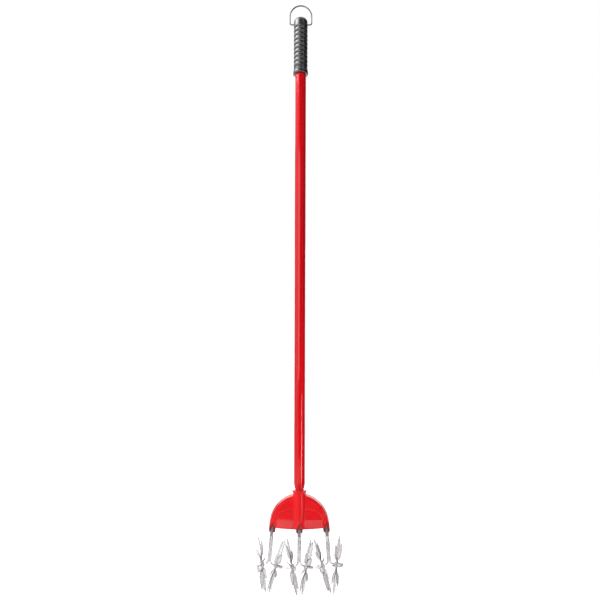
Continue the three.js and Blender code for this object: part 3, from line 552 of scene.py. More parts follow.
def gripOutside(length):
    # the grip's outline from its foot to the middle of its dome
    radius, roll = grip["diameter"] / 2, grip["roll"]
    flange, flangeTop = grip["flangeDiameter"] / 2 - roll, grip["flangeLength"]
    points = [(flange, 0)]
    points += [(flange + roll * sine, roll - roll * cosine)
               for sine, cosine in quarterArc(grip["rollSteps"], 1)]
    points += [(flange + roll * cosine, flangeTop - roll + roll * sine)
               for sine, cosine in quarterArc(grip["rollSteps"])]
    for rib in range(grip["fineRibs"]):
        low = flangeTop + rib * grip["finePitch"] + grip["fineGap"]
        for step in range(grip["fineSteps"] + 1):
            share = step / grip["fineSteps"]
            out = math.sin(math.pi * share) ** grip["fineFullness"] if 0 < share < 1 else 0
            points.append((radius - grip["fineDepth"] * (1 - out),
                           low + share * (grip["finePitch"] - grip["fineGap"])))
    first = length - grip["firstGroove"]
    pitch = (first - grip["lastGroove"]) / (grip["grooves"] - 1)
    shares = [step / grip["ribSteps"] for step in range(grip["ribSteps"])]
    for groove in range(grip["grooves"] - 1):
        points += [(ribRadius(share), grip["lastGroove"] + (groove + share) * pitch)
                   for share in shares]
    points += [(ribRadius(share), first + share * pitch)
               for share in shares[:grip["ribSteps"] // 2 + 1]]
    crown, shoulder = grip["crown"], length - grip["domeRise"]
    points += [(crown + (radius - crown) * cosine, shoulder + grip["domeRise"] * sine)
               for sine, cosine in quarterArc(grip["domeSteps"])]
    return points + [(0, length)]


def makeGrip():
    low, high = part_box("handle_grip")
    length = (high.z - low.z) / mm
    bore, foot = grip["bore"] / 2, grip["flangeDiameter"] / 2 - grip["roll"]
    roof = length - grip["plugTop"] + grip["plugRoom"]
    points = gripOutside(length) + [(0, roof), (bore, roof), (bore, 0), (foot, 0)]
    made = meshObject(turnedShell(points, grip["sides"]), "handleGrip")
    pivot = roof - grip["plugDepth"] / 2 - grip["plugRoom"] / 2
    sideways = lifted(pivot) @ Matrix.Rotation(quarterTurn, 4, "Y")
    reach = grip["holeLength"] / 2
    hole = roundCutter(grip["ringHole"] / 2, -reach, reach, sideways, grip["holeSides"])
    combine(made, [hole], "DIFFERENCE")
    made.data.transform(scaled(lifted(low.z)))
    finishPiece(made, "handle", "handle_grip", gripRubber, sharpAngle=32)


makeGrip()
print("grip moulded")


# Hanging ring: one wire, turned in at both ends to its pivot

ring = {"wire": 3, "width": 54, "corner": 4.5, "reach": 7, "rounding": 0.3, "sides": 24,
        "bowSteps": 64, "cornerSteps": 12}


def makeRing():
    low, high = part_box("hang_ring")
    wire = ring["wire"] / 2
    half, corner = ring["width"] / 2 - wire, ring["corner"]
    bow = (high.z - low.z) / mm - 2 * wire - half  # centre of the bow above the pivot
    bm, edges = startWire(Vector((-ring["reach"], 0, 0)), -xAxis, wire, ring["sides"])
    edges = straightOn(bm, edges, Vector((corner + ring["reach"] - half, 0, 0)))
    edges = bendOn(bm, edges, Vector((corner - half, 0, corner)), yAxis, quarterTurn,
                   ring["cornerSteps"])
    edges = straightOn(bm, edges, Vector((0, 0, bow - corner)))
    edges = bendOn(bm, edges, Vector((0, 0, bow)), yAxis, math.pi, ring["bowSteps"])
    edges = straightOn(bm, edges, Vector((0, 0, corner - bow)))
    edges = bendOn(bm, edges, Vector((half - corner, 0, corner)), yAxis, quarterTurn,
                   ring["cornerSteps"])
    straightOn(bm, edges, Vector((corner + ring["reach"] - half, 0, 0)))
    closeWire(bm, ring["rounding"])
    placedPiece(bm, "hangRing", lifted(low.z + wire * mm), "hang_ring", "hang_ring",
                ringSteel)


makeRing()
print("ring bent")


# Red head: a hollow fan with arched panels, a collar, a column and three pointed sockets.
# Heights are above the ground that the tines stand on.

head = {"half": 71.6, "bottom": 154.5, "dip": 2.5, "side": 2, "rise": 77, "wall": 2.8,
        "frontMiddle": 17, "frontSide": 5, "frontTop": 6, "back": 16.6, "blend": 3,
        "draft": 2.6, "edge": 1.2, "backEdge": 1.5, "footShare": 0.012, "softness": 0.8,
        "grooveIn": 5.2, "grooveWidth": 2.2, "grooveDepth": 1, "panelInner": 14.5,
        "panelOuter": 54, "panelBottom": 174.5, "panelRise": 25, "panelRecess": 1.5,
        "skirtInner": 13, "skirtTop": 173.2, "skirtRecess": 1.8, "archSteps": 220,
        "faceSteps": 96, "edgeSteps": 6, "stripSteps": 22, "backSteps": 40, "voxel": 0.8,
        "smoothing": 0.5, "smoothings": 2, "collarTop": 242, "collarLip": 34.8,
        "lipLength": 3.2, "lipRounds": ((-0.5, 0.5), (0, 1.3), (0, 1.9)), "lipTop": (0.7, 0.3),
        "mouth": 0.8, "collar": 32.4, "collarFoot": 30, "collarBottom": 184, "columnFoot": 27,
        "columnForward": 8, "sides": 96, "neckHole": 22.6, "neckBottom": 191.2,
        "rivetHole": 5.4, "rivetHoleStart": 6, "rivetHeight": 210}
socket = {"radius": 8, "footRadius": 7.4, "below": 5.5, "waist": 3.5, "straight": 8, "point": 32,
          "room": 7.02, "topRoom": 1.9, "hollowTop": 13.8, "windowHalf": 6,
          "windowStraight": 2.5, "windowPoint": 17, "sides": 56, "pointSteps": 16}
axle = {"legLength": 80.8, "wheelDistance": 14.705, "rod": 4.5, "offset": 2.45, "kneeArm": 8.2,
        "topAbove": 2.4, "length": 28.6, "rounding": 0.4, "sides": 24, "bendSteps": 16,
        "plateHalf": 1, "clear": 0.3}
archBase = head["bottom"] + head["side"]
archTop = archBase + head["rise"]
headPlace = lifted(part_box("tine_head")[1].z - head["collarTop"] * mm)


def smoothStep(value, low, high):
    share = min(1, max(0, (value - low) / (high - low)))
    return share * share * (3 - 2 * share)


def smoothLeast(first, second, width):
    share = min(1, max(0, 0.5 + 0.5 * (second - first) / width))
    return second + (first - second) * share - width * share * (1 - share)


def sunk(distance):
    # 0 outside an outline, 1 well inside it
    return smoothStep(distance, -head["softness"] / 2, head["softness"] / 2)


def panelArch(across, z):
    # how far inside the panel's curved outline
    panelWidth = head["panelOuter"] - head["panelInner"]
    u = (across - head["panelInner"]) / panelWidth
    v = (z - head["panelBottom"]) / head["panelRise"]
    return (1 - math.hypot(max(u, 0), max(v, 0))) * head["panelRise"]


def frontRecess(x, z):
    across = abs(x)
    panel = min(panelArch(across, z), across - head["panelInner"], z - head["panelBottom"])
    band = min(across - head["skirtInner"], head["panelOuter"] - across, head["skirtTop"] - z)
    lean = (z - head["bottom"] + head["dip"]) / (head["skirtTop"] - head["bottom"] + head["dip"])
    return (head["panelRecess"] * sunk(panel) + head["skirtRecess"] * sunk(band) * max(0, lean)
            + rimGroove(x, z))


def rimGroove(x, z):
    # a shallow line that follows the arch inside its rim
    if z < archBase:
        return 0
    share = math.hypot(x / head["half"], (z - archBase) / head["rise"])
    inside = (1 - share) * (head["half"] + head["rise"]) / 2
    off = abs(inside - head["grooveIn"]) / (head["grooveWidth"] / 2)
    return head["grooveDepth"] * (1 - off ** 2) ** 2 if off < 1 else 0


def frontForward(x, z):
    # how far the front stands before the axis of the handle
    bulge = 1 - (x / head["half"]) ** 2
    plan = head["frontSide"] + (head["frontMiddle"] - head["frontSide"]) * bulge
    share = max(0, (z - head["bottom"]) / (archTop - head["bottom"]))
    side = head["frontMiddle"] + (head["frontTop"] - head["frontMiddle"]) * share
    return smoothLeast(plan, side, head["blend"])


def archPoint(share):
    # point and outward direction on the outline, from the right foot over the top to the left
    straight = head["footShare"]
    if share < straight or share > 1 - straight:
        side = 1 if share < straight else -1
        up = min(share, 1 - share) / straight
        height = head["bottom"] + up * head["side"]
        return Vector((side * head["half"], 0, height)), Vector((side, 0, 0))
    angle = math.pi * (share - straight) / (1 - 2 * straight)
    cosine, sine = math.cos(angle), math.sin(angle)
    point = Vector((head["half"] * cosine, 0, archBase + head["rise"] * sine))
    return point, Vector((cosine / head["half"], 0, sine / head["rise"])).normalized()


def fanPlace(across, along):
    # along counts grid rows: up the front, round the edge, over the top and down the back
    rim, outward = archPoint(across)
    centre = Vector((0, 0, head["bottom"] - head["dip"]))
    edge, backEdge = head["edge"], head["backEdge"]
    frontRim = rim - outward * head["draft"]
    front = frontRim - outward * edge
    row = along
    if row <= head["faceSteps"]:
        spot = centre + (front - centre) * (row / head["faceSteps"])
        return spot - yAxis * (frontForward(spot.x, spot.z) - frontRecess(spot.x, spot.z))
    row -= head["faceSteps"]
    face = -frontForward(front.x, front.z) + frontRecess(front.x, front.z)
    if row <= head["edgeSteps"]:
        angle = quarterTurn * row / head["edgeSteps"]
        return (front + outward * edge * math.sin(angle)
                + yAxis * (face + edge * (1 - math.cos(angle))))
    row -= head["edgeSteps"]
    near, far = face + edge, head["back"] - backEdge
    if row <= head["stripSteps"]:
        share = row / head["stripSteps"]
        return frontRim + (rim - frontRim) * share + yAxis * (near + (far - near) * share)
    row -= head["stripSteps"]
    inner = rim - outward * backEdge
    if row <= head["edgeSteps"]:
        angle = quarterTurn * row / head["edgeSteps"]
        return (inner + outward * backEdge * math.cos(angle)
                + yAxis * (far + backEdge * math.sin(angle)))
    row -= head["edgeSteps"]
    return centre + (inner - centre) * (1 - row / head["backSteps"]) + yAxis * head["back"]


def makeFan():
    columns = head["archSteps"]
    rows = head["faceSteps"] + 2 * head["edgeSteps"] + head["stripSteps"] + head["backSteps"]
    bm = bmesh.new()
    bmesh.ops.create_grid(bm, x_segments=columns, y_segments=rows, size=0.5)
    for vert in bm.verts:
        across, along = vert.co.x + 0.5, (vert.co.y + 0.5) * rows
        vert.co = fanPlace(across, round(along, 4))  # rounded onto the grid's own rows
    cleanFaces(bm)
    outwardFace = max(bm.faces, key=lambda face: face.calc_center_median().y)
    if outwardFace.normal.y < 0:
        bmesh.ops.reverse_faces(bm, faces=bm.faces[:])
    bmesh.ops.solidify(bm, geom=bm.faces[:], thickness=head["wall"])
    bmesh.ops.recalc_face_normals(bm, faces=bm.faces[:])
    return meshObject(bm, "fan")


def legPlace(leg):
    # the leg's own frame: +Z up the leg, its origin between the two knees
    down = Vector(joints[leg + "_release"]["axis"])
    up = -down.normalized()
    knees = []
    for hand in ("left", "right"):
        spin = joints[f"{leg}_{hand}_spin"]
        back = Vector(spin["axis"]).normalized() * axle["wheelDistance"] * mm
        knees.append(Vector(spin["pos_m"]) - back)
    foot = (knees[0] + knees[1]) / 2
    turn = Matrix((yAxis.cross(up), yAxis, up)).transposed()
    return Matrix.Translation(foot) @ turn.to_4x4()


def makeSocket(place):
    low = axle["legLength"] - socket["below"]
    full = axle["legLength"] + socket["straight"]
    profile = [(0, low), (socket["footRadius"], low), (socket["radius"], low + socket["waist"]),
               (socket["radius"], full)]
    for step in range(1, socket["pointSteps"] + 1):
        share = step / socket["pointSteps"]
        profile.append((socket["radius"] * (1 - share ** 2),
                        full + (socket["point"] - socket["straight"]) * share))
    return placedTool(turnedShell(profile, socket["sides"]), "socket", place)


def makeSocketHollow(place):
    low = axle["legLength"] - socket["below"] - cutterReach
    rise = axle["legLength"] + axle["clear"]
    top = axle["legLength"] + socket["hollowTop"]
    bm = turnedShell([(0, low), (socket["room"], low), (socket["room"], rise),
                      (socket["topRoom"], top), (0, top)], steps=4)
    return placedTool(bm, "hollow", place)


def makeSocketWindow(place):
    half, low = socket["windowHalf"], axle["legLength"] - socket["below"] - cutterReach
    shoulder = axle["legLength"] + socket["windowStraight"]
    corners = [(-half, low), (half, low), (half, shoulder),
               (0, axle["legLength"] + socket["windowPoint"]), (-half, shoulder)]
    bm = bmesh.new()
    face = bm.faces.new([bm.verts.new((x, 0, z)) for x, z in corners])
    grown = bmesh.ops.extrude_face_region(bm, geom=[face])["geom"]
    bmesh.ops.translate(bm, verts=only(grown, bmesh.types.BMVert),
                        vec=Vector((0, -socket["radius"] - cutterReach, 0)))
    bmesh.ops.recalc_face_normals(bm, faces=bm.faces[:])
    return placedTool(bm, "window", place)


# What the red finish is told of its painted sheen and shade: how wide and how strong each mark is
marks = {"band": 0.85, "bandFoot": 1, "ledge": 0.5, "ledgeWidth": 1.2, "arch": 0.4,
         "archWidth": 1, "seamWidth": 1.5, "besideColumn": 2, "foot": 0.7, "footWidth": 1.5}


def lineAt(distance, width):
    # 1 on an outline, fading to 0 within that width of it
    return max(0, 1 - abs(distance) / width)


def markSheenAndShade(mesh):
    # 1 on the skirt band and panel edges, for painted sheen; 1 in the grooves, for painted shade
    band = mesh.attributes.new("paintedSheenBand", "FLOAT", "POINT")
    paintedShade = mesh.attributes.new("grooveShade", "FLOAT", "POINT")
    for vert, paintedSheen, dark in zip(mesh.vertices, band.data, paintedShade.data):
        x, up = vert.co.x, vert.co.z
        across = abs(x)
        if vert.co.y > 0:
            paintedSheen.value = dark.value = 0
            continue
        inside = min(across - head["skirtInner"], head["panelOuter"] - across,
                     head["skirtTop"] - up, up - head["bottom"] - marks["bandFoot"])
        ledge, arch = 0, 0
        if head["skirtInner"] < across < head["panelOuter"]:
            ledge = lineAt(head["skirtTop"] - up, marks["ledgeWidth"])
            if up > head["panelBottom"] + marks["archWidth"]:
                arch = lineAt(panelArch(across, up), marks["archWidth"])
        # painted sheen on the skirt band, along its top edge and along the panel arches
        paintedSheen.value = min(1, marks["band"] * sunk(inside) + marks["ledge"] * ledge
                           + marks["arch"] * arch)
        # painted shade along the left side of the column, in the rim groove and along the foot
        seam = (lineAt(x + head["panelInner"], marks["seamWidth"])
                * sunk(head["panelBottom"] + head["panelRise"] - up))
        groove = 0
        if across > head["collar"] / 2 + marks["besideColumn"]:
            groove = rimGroove(x, up) / head["grooveDepth"]
        rise = up - head["bottom"] + head["dip"] * (1 - across / head["half"])
        dark.value = max(seam, groove, marks["foot"] * lineAt(rise, marks["footWidth"]))


def makeCollar():
    collar, lip, foot = head["collar"] / 2, head["collarLip"] / 2, head["collarFoot"] / 2
    lipStart, high = head["collarTop"] - head["lipLength"], head["collarTop"]
    inward, down = head["lipTop"]
    profile = [(0, head["collarBottom"]), (foot, head["collarBottom"]), (foot, archTop),
               (collar, lipStart)]
    profile += [(lip + out, lipStart + up) for out, up in head["lipRounds"]]
    profile += [(lip - inward, high - down), (collar + head["mouth"], high), (0, high)]
    return meshObject(turnedShell(profile, head["sides"]), "collar")


def makeColumn():
    foot = Vector((0, -head["columnForward"], head["bottom"]))
    crest = Vector((0, 0, archTop))
    bm = bmesh.new()
    lean = (crest - foot).to_track_quat("Z", "Y").to_matrix().to_4x4()
    bmesh.ops.create_cone(bm, cap_ends=True, segments=head["sides"],
                          radius1=head["columnFoot"] / 2, radius2=head["collarFoot"] / 2,
                          depth=(crest - foot).length,
                          matrix=Matrix.Translation((crest + foot) / 2) @ lean)
    return meshObject(bm, "column")


def skinned(parts):
    # the parts run together under one smooth skin
    bm = bmesh.new()
    for part in parts:
        bm.from_mesh(part.data)
        bpy.data.objects.remove(part)
    made = meshObject(bm, "tineHead")
    skin = made.modifiers.new("skin", "REMESH")
    skin.mode = "VOXEL"
    skin.voxel_size = head["voxel"]
    keepResult(made)
    bm = bmesh.new()
    bm.from_mesh(made.data)
    for turn in range(head["smoothings"]):
        bmesh.ops.smooth_vert(bm, verts=bm.verts[:], factor=head["smoothing"],
                              use_axis_x=True, use_axis_y=True, use_axis_z=True)
    bm.to_mesh(made.data)
    bm.free()
    print("head skinned:", len(made.data.polygons), "faces")
    return made


def makeHead():
    toLocal = scaled(headPlace).inverted()
    legs = [toLocal @ legPlace(leg) @ Matrix.Scale(mm, 4) for leg in legNames]
    made = skinned([makeFan(), makeCollar(), makeColumn()]
                   + [makeSocket(place) for place in legs])
    backward = lifted(head["rivetHeight"]) @ Matrix.Rotation(-quarterTurn, 4, "X")
    cutters = [roundCutter(head["neckHole"] / 2, head["neckBottom"],
                           head["collarTop"] + cutterReach, Matrix.Identity(4)),
               roundCutter(head["rivetHole"] / 2, head["rivetHoleStart"],
                           head["back"] + cutterReach, backward)]
    cutters += [makeSocketHollow(place) for place in legs]
    cutters += [makeSocketWindow(place) for place in legs]
    combine(made, cutters, "DIFFERENCE")
    markSheenAndShade(made.data)
    made.data.transform(scaled(headPlace))
    finishPiece(made, "handle", "tine_head", mouldedRed, sharpAngle=38)


makeHead()
print("head moulded")


# Rivet at the back of the collar

rivet = {"shank": 2.4, "head": 4.5, "rise": 2, "seat": 16.9, "inner": 6.8, "domeSteps": 8,
         "sides": 48}


def makeRivet():
    seat = rivet["seat"]
    profile = [(0, rivet["inner"]), (rivet["shank"], rivet["inner"]), (rivet["shank"], seat),
               (rivet["head"], seat)]
    profile += [(rivet["head"] * cosine, seat + rivet["rise"] * sine)
                for sine, cosine in quarterArc(rivet["domeSteps"], 1)]
    backward = lifted(head["rivetHeight"] * mm) @ Matrix.Rotation(-quarterTurn, 4, "X")
    placedPiece(turnedShell(profile, rivet["sides"]), "neckRivet", headPlace @ backward, "handle",
                "neck_rivet", rivetSteel)


makeRivet()
print("rivet set")


# Grey ferrules: square wedges pointed both ways, with two channels for the rods

ferrule = {"radius": 6.6, "above": 13.5, "below": 14.3, "topRadius": 1.6, "footRadius": 4.4,
           "rounding": 0.45}


def makeFerrule(leg, place):
    middle = axle["legLength"]
    low, high = middle - ferrule["below"], middle + ferrule["above"]
    bm = turnedShell([(0, low), (ferrule["footRadius"], low), (ferrule["radius"], middle),
                      (ferrule["topRadius"], high), (0, high)], steps=4)
    bmesh.ops.dissolve_limit(bm, angle_limit=math.radians(1), verts=bm.verts[:],
                             edges=bm.edges[:])
    softenEdges(bm, ferrule["rounding"], angle=15)
    made = meshObject(bm, leg + "Ferrule")
    room, top = axle["rod"] / 2 + axle["clear"], middle + axle["topAbove"] + axle["clear"]
    channels = [roundCutter(room, low - cutterReach, top,
                            Matrix.Translation((side * axle["offset"], 0, 0)))
                for side in (-1, 1)]
    combine(made, channels, "DIFFERENCE")
    made.data.transform(scaled(place))
    finishPiece(made, leg, leg + "_ferrule", ferrulePlastic, sharpAngle=30)


# Rods: straight down the leg, round the knee and out as the axle

def makeRod(leg, hand, side, place, outward):
    knee = Vector((side * axle["offset"], 0, 0))
    angle = (-zAxis).angle(outward)
    arm = axle["kneeArm"]
    turnAxis = (-zAxis).cross(outward).normalized()
    bendStart = knee + zAxis * arm
    radius = arm / math.tan(angle / 2)
    inward = turnAxis.cross(-zAxis).normalized()
    top = axle["legLength"] + axle["topAbove"]
    bm, edges = startWire(knee + zAxis * top, -zAxis, axle["rod"] / 2, axle["sides"])
    edges = straightOn(bm, edges, -zAxis * (top - arm))
    edges = bendOn(bm, edges, bendStart + inward * radius, turnAxis, angle, axle["bendSteps"])
    straightOn(bm, edges, outward * (axle["length"] - arm))
    closeWire(bm, axle["rounding"])
    placedPiece(bm, f"{leg}_{hand}Rod", place, leg, f"{leg}_{hand}_rod", rodSteel)


# Star wheels: a stamped disc with eight barbed tines that twist out of its plane

star = {"thickness": 2, "hub": 11.5, "radius": 66, "tines": 8, "root": 8, "broad": 13.5,
        "overlap": 2, "waistSteps": 9, "tipWidth": 1.1, "tipThickness": 0.9, "tipLength": 8,
        "tipShare": 0.62, "barbStart": 20, "barbs": 5, "barbSteps": 3, "barbRootShare": 0.54,
        "barbStepShare": 0.2, "barbBow": 0.8, "broadestShare": 0.3, "pressed": 0.7, "twist": 44,
        "twistEndShare": 0.45, "bore": 4.4, "hubSides": 64, "columns": 8, "margin": 1.6,
        "marginStart": 0.5, "edge": 0.2, "edgeAngle": 50, "tipReach": 0.995}


def tineWidth(share):
    broadest = star["broadestShare"]
    if share < broadest:
        return star["root"] + (star["broad"] - star["root"]) * share / broadest
    past = (share - broadest) / (1 - broadest)
    return star["broad"] + (star["root"] - star["broad"]) * past ** 2


def tineOutline():
    # (radius, half width) down one edge of a tine, from inside the hub to its tip
    tipStart, start = star["radius"] - star["tipLength"], star["hub"] - star["overlap"]
    pitch = (tipStart - star["barbStart"]) / star["barbs"]
    narrow = star["barbRootShare"] / 2
    neck = (star["hub"] + star["barbStart"]) / 2
    points = [(start, star["root"] / 2)]
    for step in range(1, star["waistSteps"]):  # waist between the hub and the first barb
        radius = start + (star["barbStart"] - start) * step / star["waistSteps"]
        sag = smoothStep(radius, star["hub"] - star["overlap"] / 2, neck)
        points.append((radius, star["root"] * (0.5 - (0.5 - narrow) * sag)))
    for barb in range(star["barbs"]):
        foot = star["barbStart"] + barb * pitch
        point = foot + pitch * (1 - star["barbStepShare"])
        width = tineWidth((barb + 1) / star["barbs"])
        for step in range(star["barbSteps"] + 1):  # the barb's long edge bows out a little
            share = step / star["barbSteps"]
            swell = width * (narrow + (0.5 - narrow) * share ** star["barbBow"])
            points.append((foot + (point - foot) * share, swell))
    points.append((tipStart, star["root"] * narrow))
    points.append((tipStart + star["tipLength"] / 2, star["root"] * narrow * star["tipShare"]))
    points.append((star["radius"], star["tipWidth"] / 2))
    return points


def pressedOut(radius):
    # how far a barb stands out of the plate's plane
    tipStart = star["radius"] - star["tipLength"]
    if not star["barbStart"] < radius < tipStart:
        return 0
    pitch = (tipStart - star["barbStart"]) / star["barbs"]
    share = (radius - star["barbStart"]) / pitch % 1
    long = 1 - star["barbStepShare"]
    return star["pressed"] * (share / long if share < long else (1 - share) / (1 - long))


def twistAt(radius):
    share = smoothStep(radius, star["hub"], star["radius"] * star["twistEndShare"])
    return math.radians(star["twist"]) * share


def halfWidthAt(radius, outline):
    for (low, first), (high, second) in zip(outline, outline[1:]):
        if low <= radius <= high and high > low:
            return first + (second - first) * (radius - low) / (high - low)
    return outline[-1][1]


def markEdgeShade(bm):
    # 0 along the middle of a tine, 1 near its edges: painted shade over the sheared edge and a
    # margin
    layer = bm.verts.layers.float.new("edgeShadeShare")
    outline = tineOutline()
    part = fullTurn / star["tines"]
    for vert in bm.verts:
        radius = math.hypot(vert.co.y, vert.co.z)
        if radius < star["hub"] + star["marginStart"]:
            continue
        turn = math.atan2(-vert.co.y, vert.co.z)
        back = Matrix.Rotation(-round(turn / part) * part, 3, "X") @ vert.co
        flat = Matrix.Rotation(-twistAt(back.z), 3, "Z") @ back
        inside = halfWidthAt(back.z, outline) - abs(flat.y)
        vert[layer] = min(1, max(0, 1 - inside / star["margin"]))


def makeStarMesh():
    bm = bmesh.new()
    verts = [bm.verts.new((0, half, radius)) for radius, half in tineOutline()]
    edges = [bm.edges.new(pair) for pair in zip(verts, verts[1:])]
    grown = bmesh.ops.extrude_edge_only(bm, edges=edges)["geom"]
    for vert in only(grown, bmesh.types.BMVert):
        vert.co.y = -vert.co.y
    rungs = [edge for edge in bm.edges if edge.verts[0].co.y * edge.verts[1].co.y < 0]
    bmesh.ops.subdivide_edges(bm, edges=rungs, cuts=star["columns"] - 1, use_grid_fill=True)
    bmesh.ops.recalc_face_normals(bm, faces=bm.faces[:])
    bmesh.ops.solidify(bm, geom=bm.faces[:], thickness=1)  # 1 mm here, scaled just below
    middle = sum(vert.co.x for vert in bm.verts) / len(bm.verts)
    thick, thin = star["thickness"], star["tipThickness"]
    for vert in bm.verts:
        width = thick + (thin - thick) * vert.co.z / star["radius"]
        vert.co.x = (vert.co.x - middle) * width + pressedOut(vert.co.z)
    bmesh.ops.recalc_face_normals(bm, faces=bm.faces[:])
    softenEdges(bm, star["edge"], star["edgeAngle"], segments=2)
    for vert in bm.verts:
        vert.co = Matrix.Rotation(twistAt(vert.co.z), 3, "Z") @ vert.co
    tine = meshObject(bm, "tine")
    half = star["thickness"] / 2
    bm = turnedShell([(star["bore"], -half), (star["hub"], -half), (star["hub"], half),
                      (star["bore"], half), (star["bore"], -half)], star["hubSides"])
    softenEdges(bm, star["edge"], star["edgeAngle"], segments=2)
    ontoAxle(bm)
    hub = meshObject(bm, "starHub")
    tines = []
    for index in range(star["tines"]):
        copy = addObject("tineCopy", tine.data.copy())
        copy.data.transform(Matrix.Rotation(fullTurn * index / star["tines"], 4, "X"))
        tines.append(copy)
    bpy.data.objects.remove(tine)
    combine(hub, tines, "UNION")
    bm = bmesh.new()
    bm.from_mesh(hub.data)
    bpy.data.objects.remove(hub)
    markEdgeShade(bm)
    return bm


def tinePhase(node, place):
    # how far the solid's tines stand turned about their axle
    toWheel = scaled(place).inverted()
    across, up = 0, 0
    for vert in frame["nodes"][node].data.vertices:
        local = toWheel @ vert.co
        if math.hypot(local.y, local.z) > star["radius"] * star["tipReach"]:
            angle = math.atan2(-local.y, local.z) * star["tines"]
            across += math.sin(angle)
            up += math.cos(angle)
    return math.atan2(across, up) / star["tines"]


def axlePlace(spin):
    # +X outward along the axle, at the middle of the star
    outward = Vector(spin["axis"]).normalized()
    up = (zAxis - outward * outward.z).normalized()
    turn = Matrix((outward, up.cross(outward), up)).transposed()
    return Matrix.Translation(Vector(spin["pos_m"])) @ turn.to_4x4()


# Bush, washer and cap of a wheel, turned about the axle

fitting = {"bush": 4.1, "flange": 6.4, "flangeLength": 2.5, "sleeve": 4.7, "sleeveLength": 8.6,
           "washer": 5.4, "washerLength": 1, "cap": 4.7, "capLength": 6, "capDome": 1.6,
           "domeSteps": 8, "inCap": 3.7, "sides": 48, "edge": 0.3}


def makeFittings(leg, hand, wheelBody, place):
    room, clear = axle["rod"] / 2 + axle["clear"], axle["clear"]
    half = axle["plateHalf"] + clear
    inner, outer = -half - fitting["flangeLength"], half + fitting["sleeveLength"]
    flange, core, sleeve = fitting["flange"], fitting["bush"], fitting["sleeve"]
    bush = [(room, inner), (flange, inner), (flange, -half), (core, -half), (core, half),
            (sleeve, half), (sleeve, outer), (room, outer), (room, inner)]
    washerOut = inner - clear
    washerIn, rim = washerOut - fitting["washerLength"], fitting["washer"]
    washer = [(room, washerIn), (rim, washerIn), (rim, washerOut), (room, washerOut),
              (room, washerIn)]
    mouth, capRadius, dome = outer + clear, fitting["cap"], fitting["capDome"]
    end, floor = mouth + fitting["capLength"], mouth + fitting["inCap"] + clear
    cap = [(room, mouth), (capRadius, mouth), (capRadius, end - dome)]
    cap += [(capRadius * cosine, end - dome * (1 - sine))
            for sine, cosine in quarterArc(fitting["domeSteps"], 1)]
    cap += [(0, floor), (room, floor), (room, mouth)]
    for kind, profile, body, material in (("bush", bush, wheelBody, bushSteel),
                                          ("washer", washer, leg, washerSteel),
                                          ("cap", cap, leg, capSteel)):
        bm = turnedShell(profile, fitting["sides"])
        softenEdges(bm, fitting["edge"], angle=40)
        ontoAxle(bm)
        placedPiece(bm, f"{leg}_{hand}{kind.capitalize()}", place, body,
                    f"{leg}_{hand}_{kind}", material)


def fitWheel(leg, hand, side, legMatrix, starMesh):
    spin = joints[f"{leg}_{hand}_spin"]
    outward = (legMatrix.to_3x3().inverted() @ Vector(spin["axis"])).normalized()
    makeRod(leg, hand, side, legMatrix, outward)
    place = axlePlace(spin)
    node, wheelBody = f"{leg}_{hand}_star", f"{leg}_{hand}_wheel"
    turn = Matrix.Rotation(tinePhase(node, place), 4, "X")
    placedPiece(starMesh.copy(), f"{leg}_{hand}Star", place @ turn, wheelBody, node,
                starSteel, sharpAngle=35)
    makeFittings(leg, hand, wheelBody, place)


starMesh = makeStarMesh()
print("star stamped:", len(starMesh.faces), "faces")
for leg in legNames:
    legMatrix = legPlace(leg)
    makeFerrule(leg, legMatrix)
    for hand, side in (("left", -1), ("right", 1)):
        fitWheel(leg, hand, side, legMatrix, starMesh)
    print(leg, "fitted")
starMesh.free()


# The plug stays the frame's own solid, inside the grip

plugMaterials = frame["nodes"]["tube_end_plug"].data.materials
plugMaterials.clear()
plugMaterials.append(plugPlastic)
print("plug finished")


# Studio: white floor and background, a strong soft light from high on the left, fills from
# the front, above and behind, and dark panels round it that only reflections see. Metres.

studio = {"floorSize": 12, "floorGap": 0.0005, "floorGlow": 0.65, "floorTone": 0.9,
          "worldLight": 0.4, "panelTone": 0.01, "panelRough": 0.9}
lamps = {  # place, width and height, brightness, what it points at, spread in degrees
    "left": ((-1.7, -0.5, -0.1), (1.4, 1.8), 0.5, (0, 0, -0.5), 180),
    "highLeft": ((-1.45, -0.5, 1.18), (1.5, 0.9), 6.5, (0, 0, 0.1), 180),
    "front": ((-0.9, -2.0, -0.15), (1.6, 1.4), 2.6, (0, 0, -1.1), 180),
    "strip": ((0.66, -0.68, -1.08), (0.22, 0.34), 0.7, (0, 0, -0.94), 40),
    "top": ((-0.7, -0.3, 0.9), (1, 1), 0.8, (0, 0, -0.9), 180),
    "behind": ((0, 1.5, -0.62), (1.5, 0.9), 1.4, (0, 0, -1.1), 180),
}
panels = {  # place, width and height, what it faces
    "right": ((0.95, 0.25, 0.1), (1.9, 2.9), (0, 0.25, 0.1)),
    "behindLeft": ((-0.72, 0.75, -0.62), (0.8, 1.5), (0, 0, -0.62)),
    "behindFloor": ((0, 0.38, -1.376), (0.7, 0.5), (0, 0.38, 0)),
    "nearFloor": ((0, -0.45, -1.376), (0.16, 0.4), (0, -0.45, 0)),
    "frontFloor": ((0, -1.25, -1.376), (1.3, 1), (0, -1.25, 0)),
    "camera": ((0.9, -2.9, 0.6), (4.6, 4.4), (0.9, 0, 0.6)),
}
photoCamera = {"place": (0.0007, -1.356, -0.9263), "lens": 34.56, "sensor": 36, "shiftY": 0.1667,
               "roll": -0.167, "nearest": 0.01}


def seenDirectly(tree):
    # 1 for what the camera sees, whether straight, in a reflection or through glass
    rays = addNode(tree, "LightPath").outputs
    first = calculate(tree, "MAXIMUM", rays["Is Camera Ray"], rays["Is Glossy Ray"])
    return calculate(tree, "MAXIMUM", first, rays["Is Transmission Ray"])


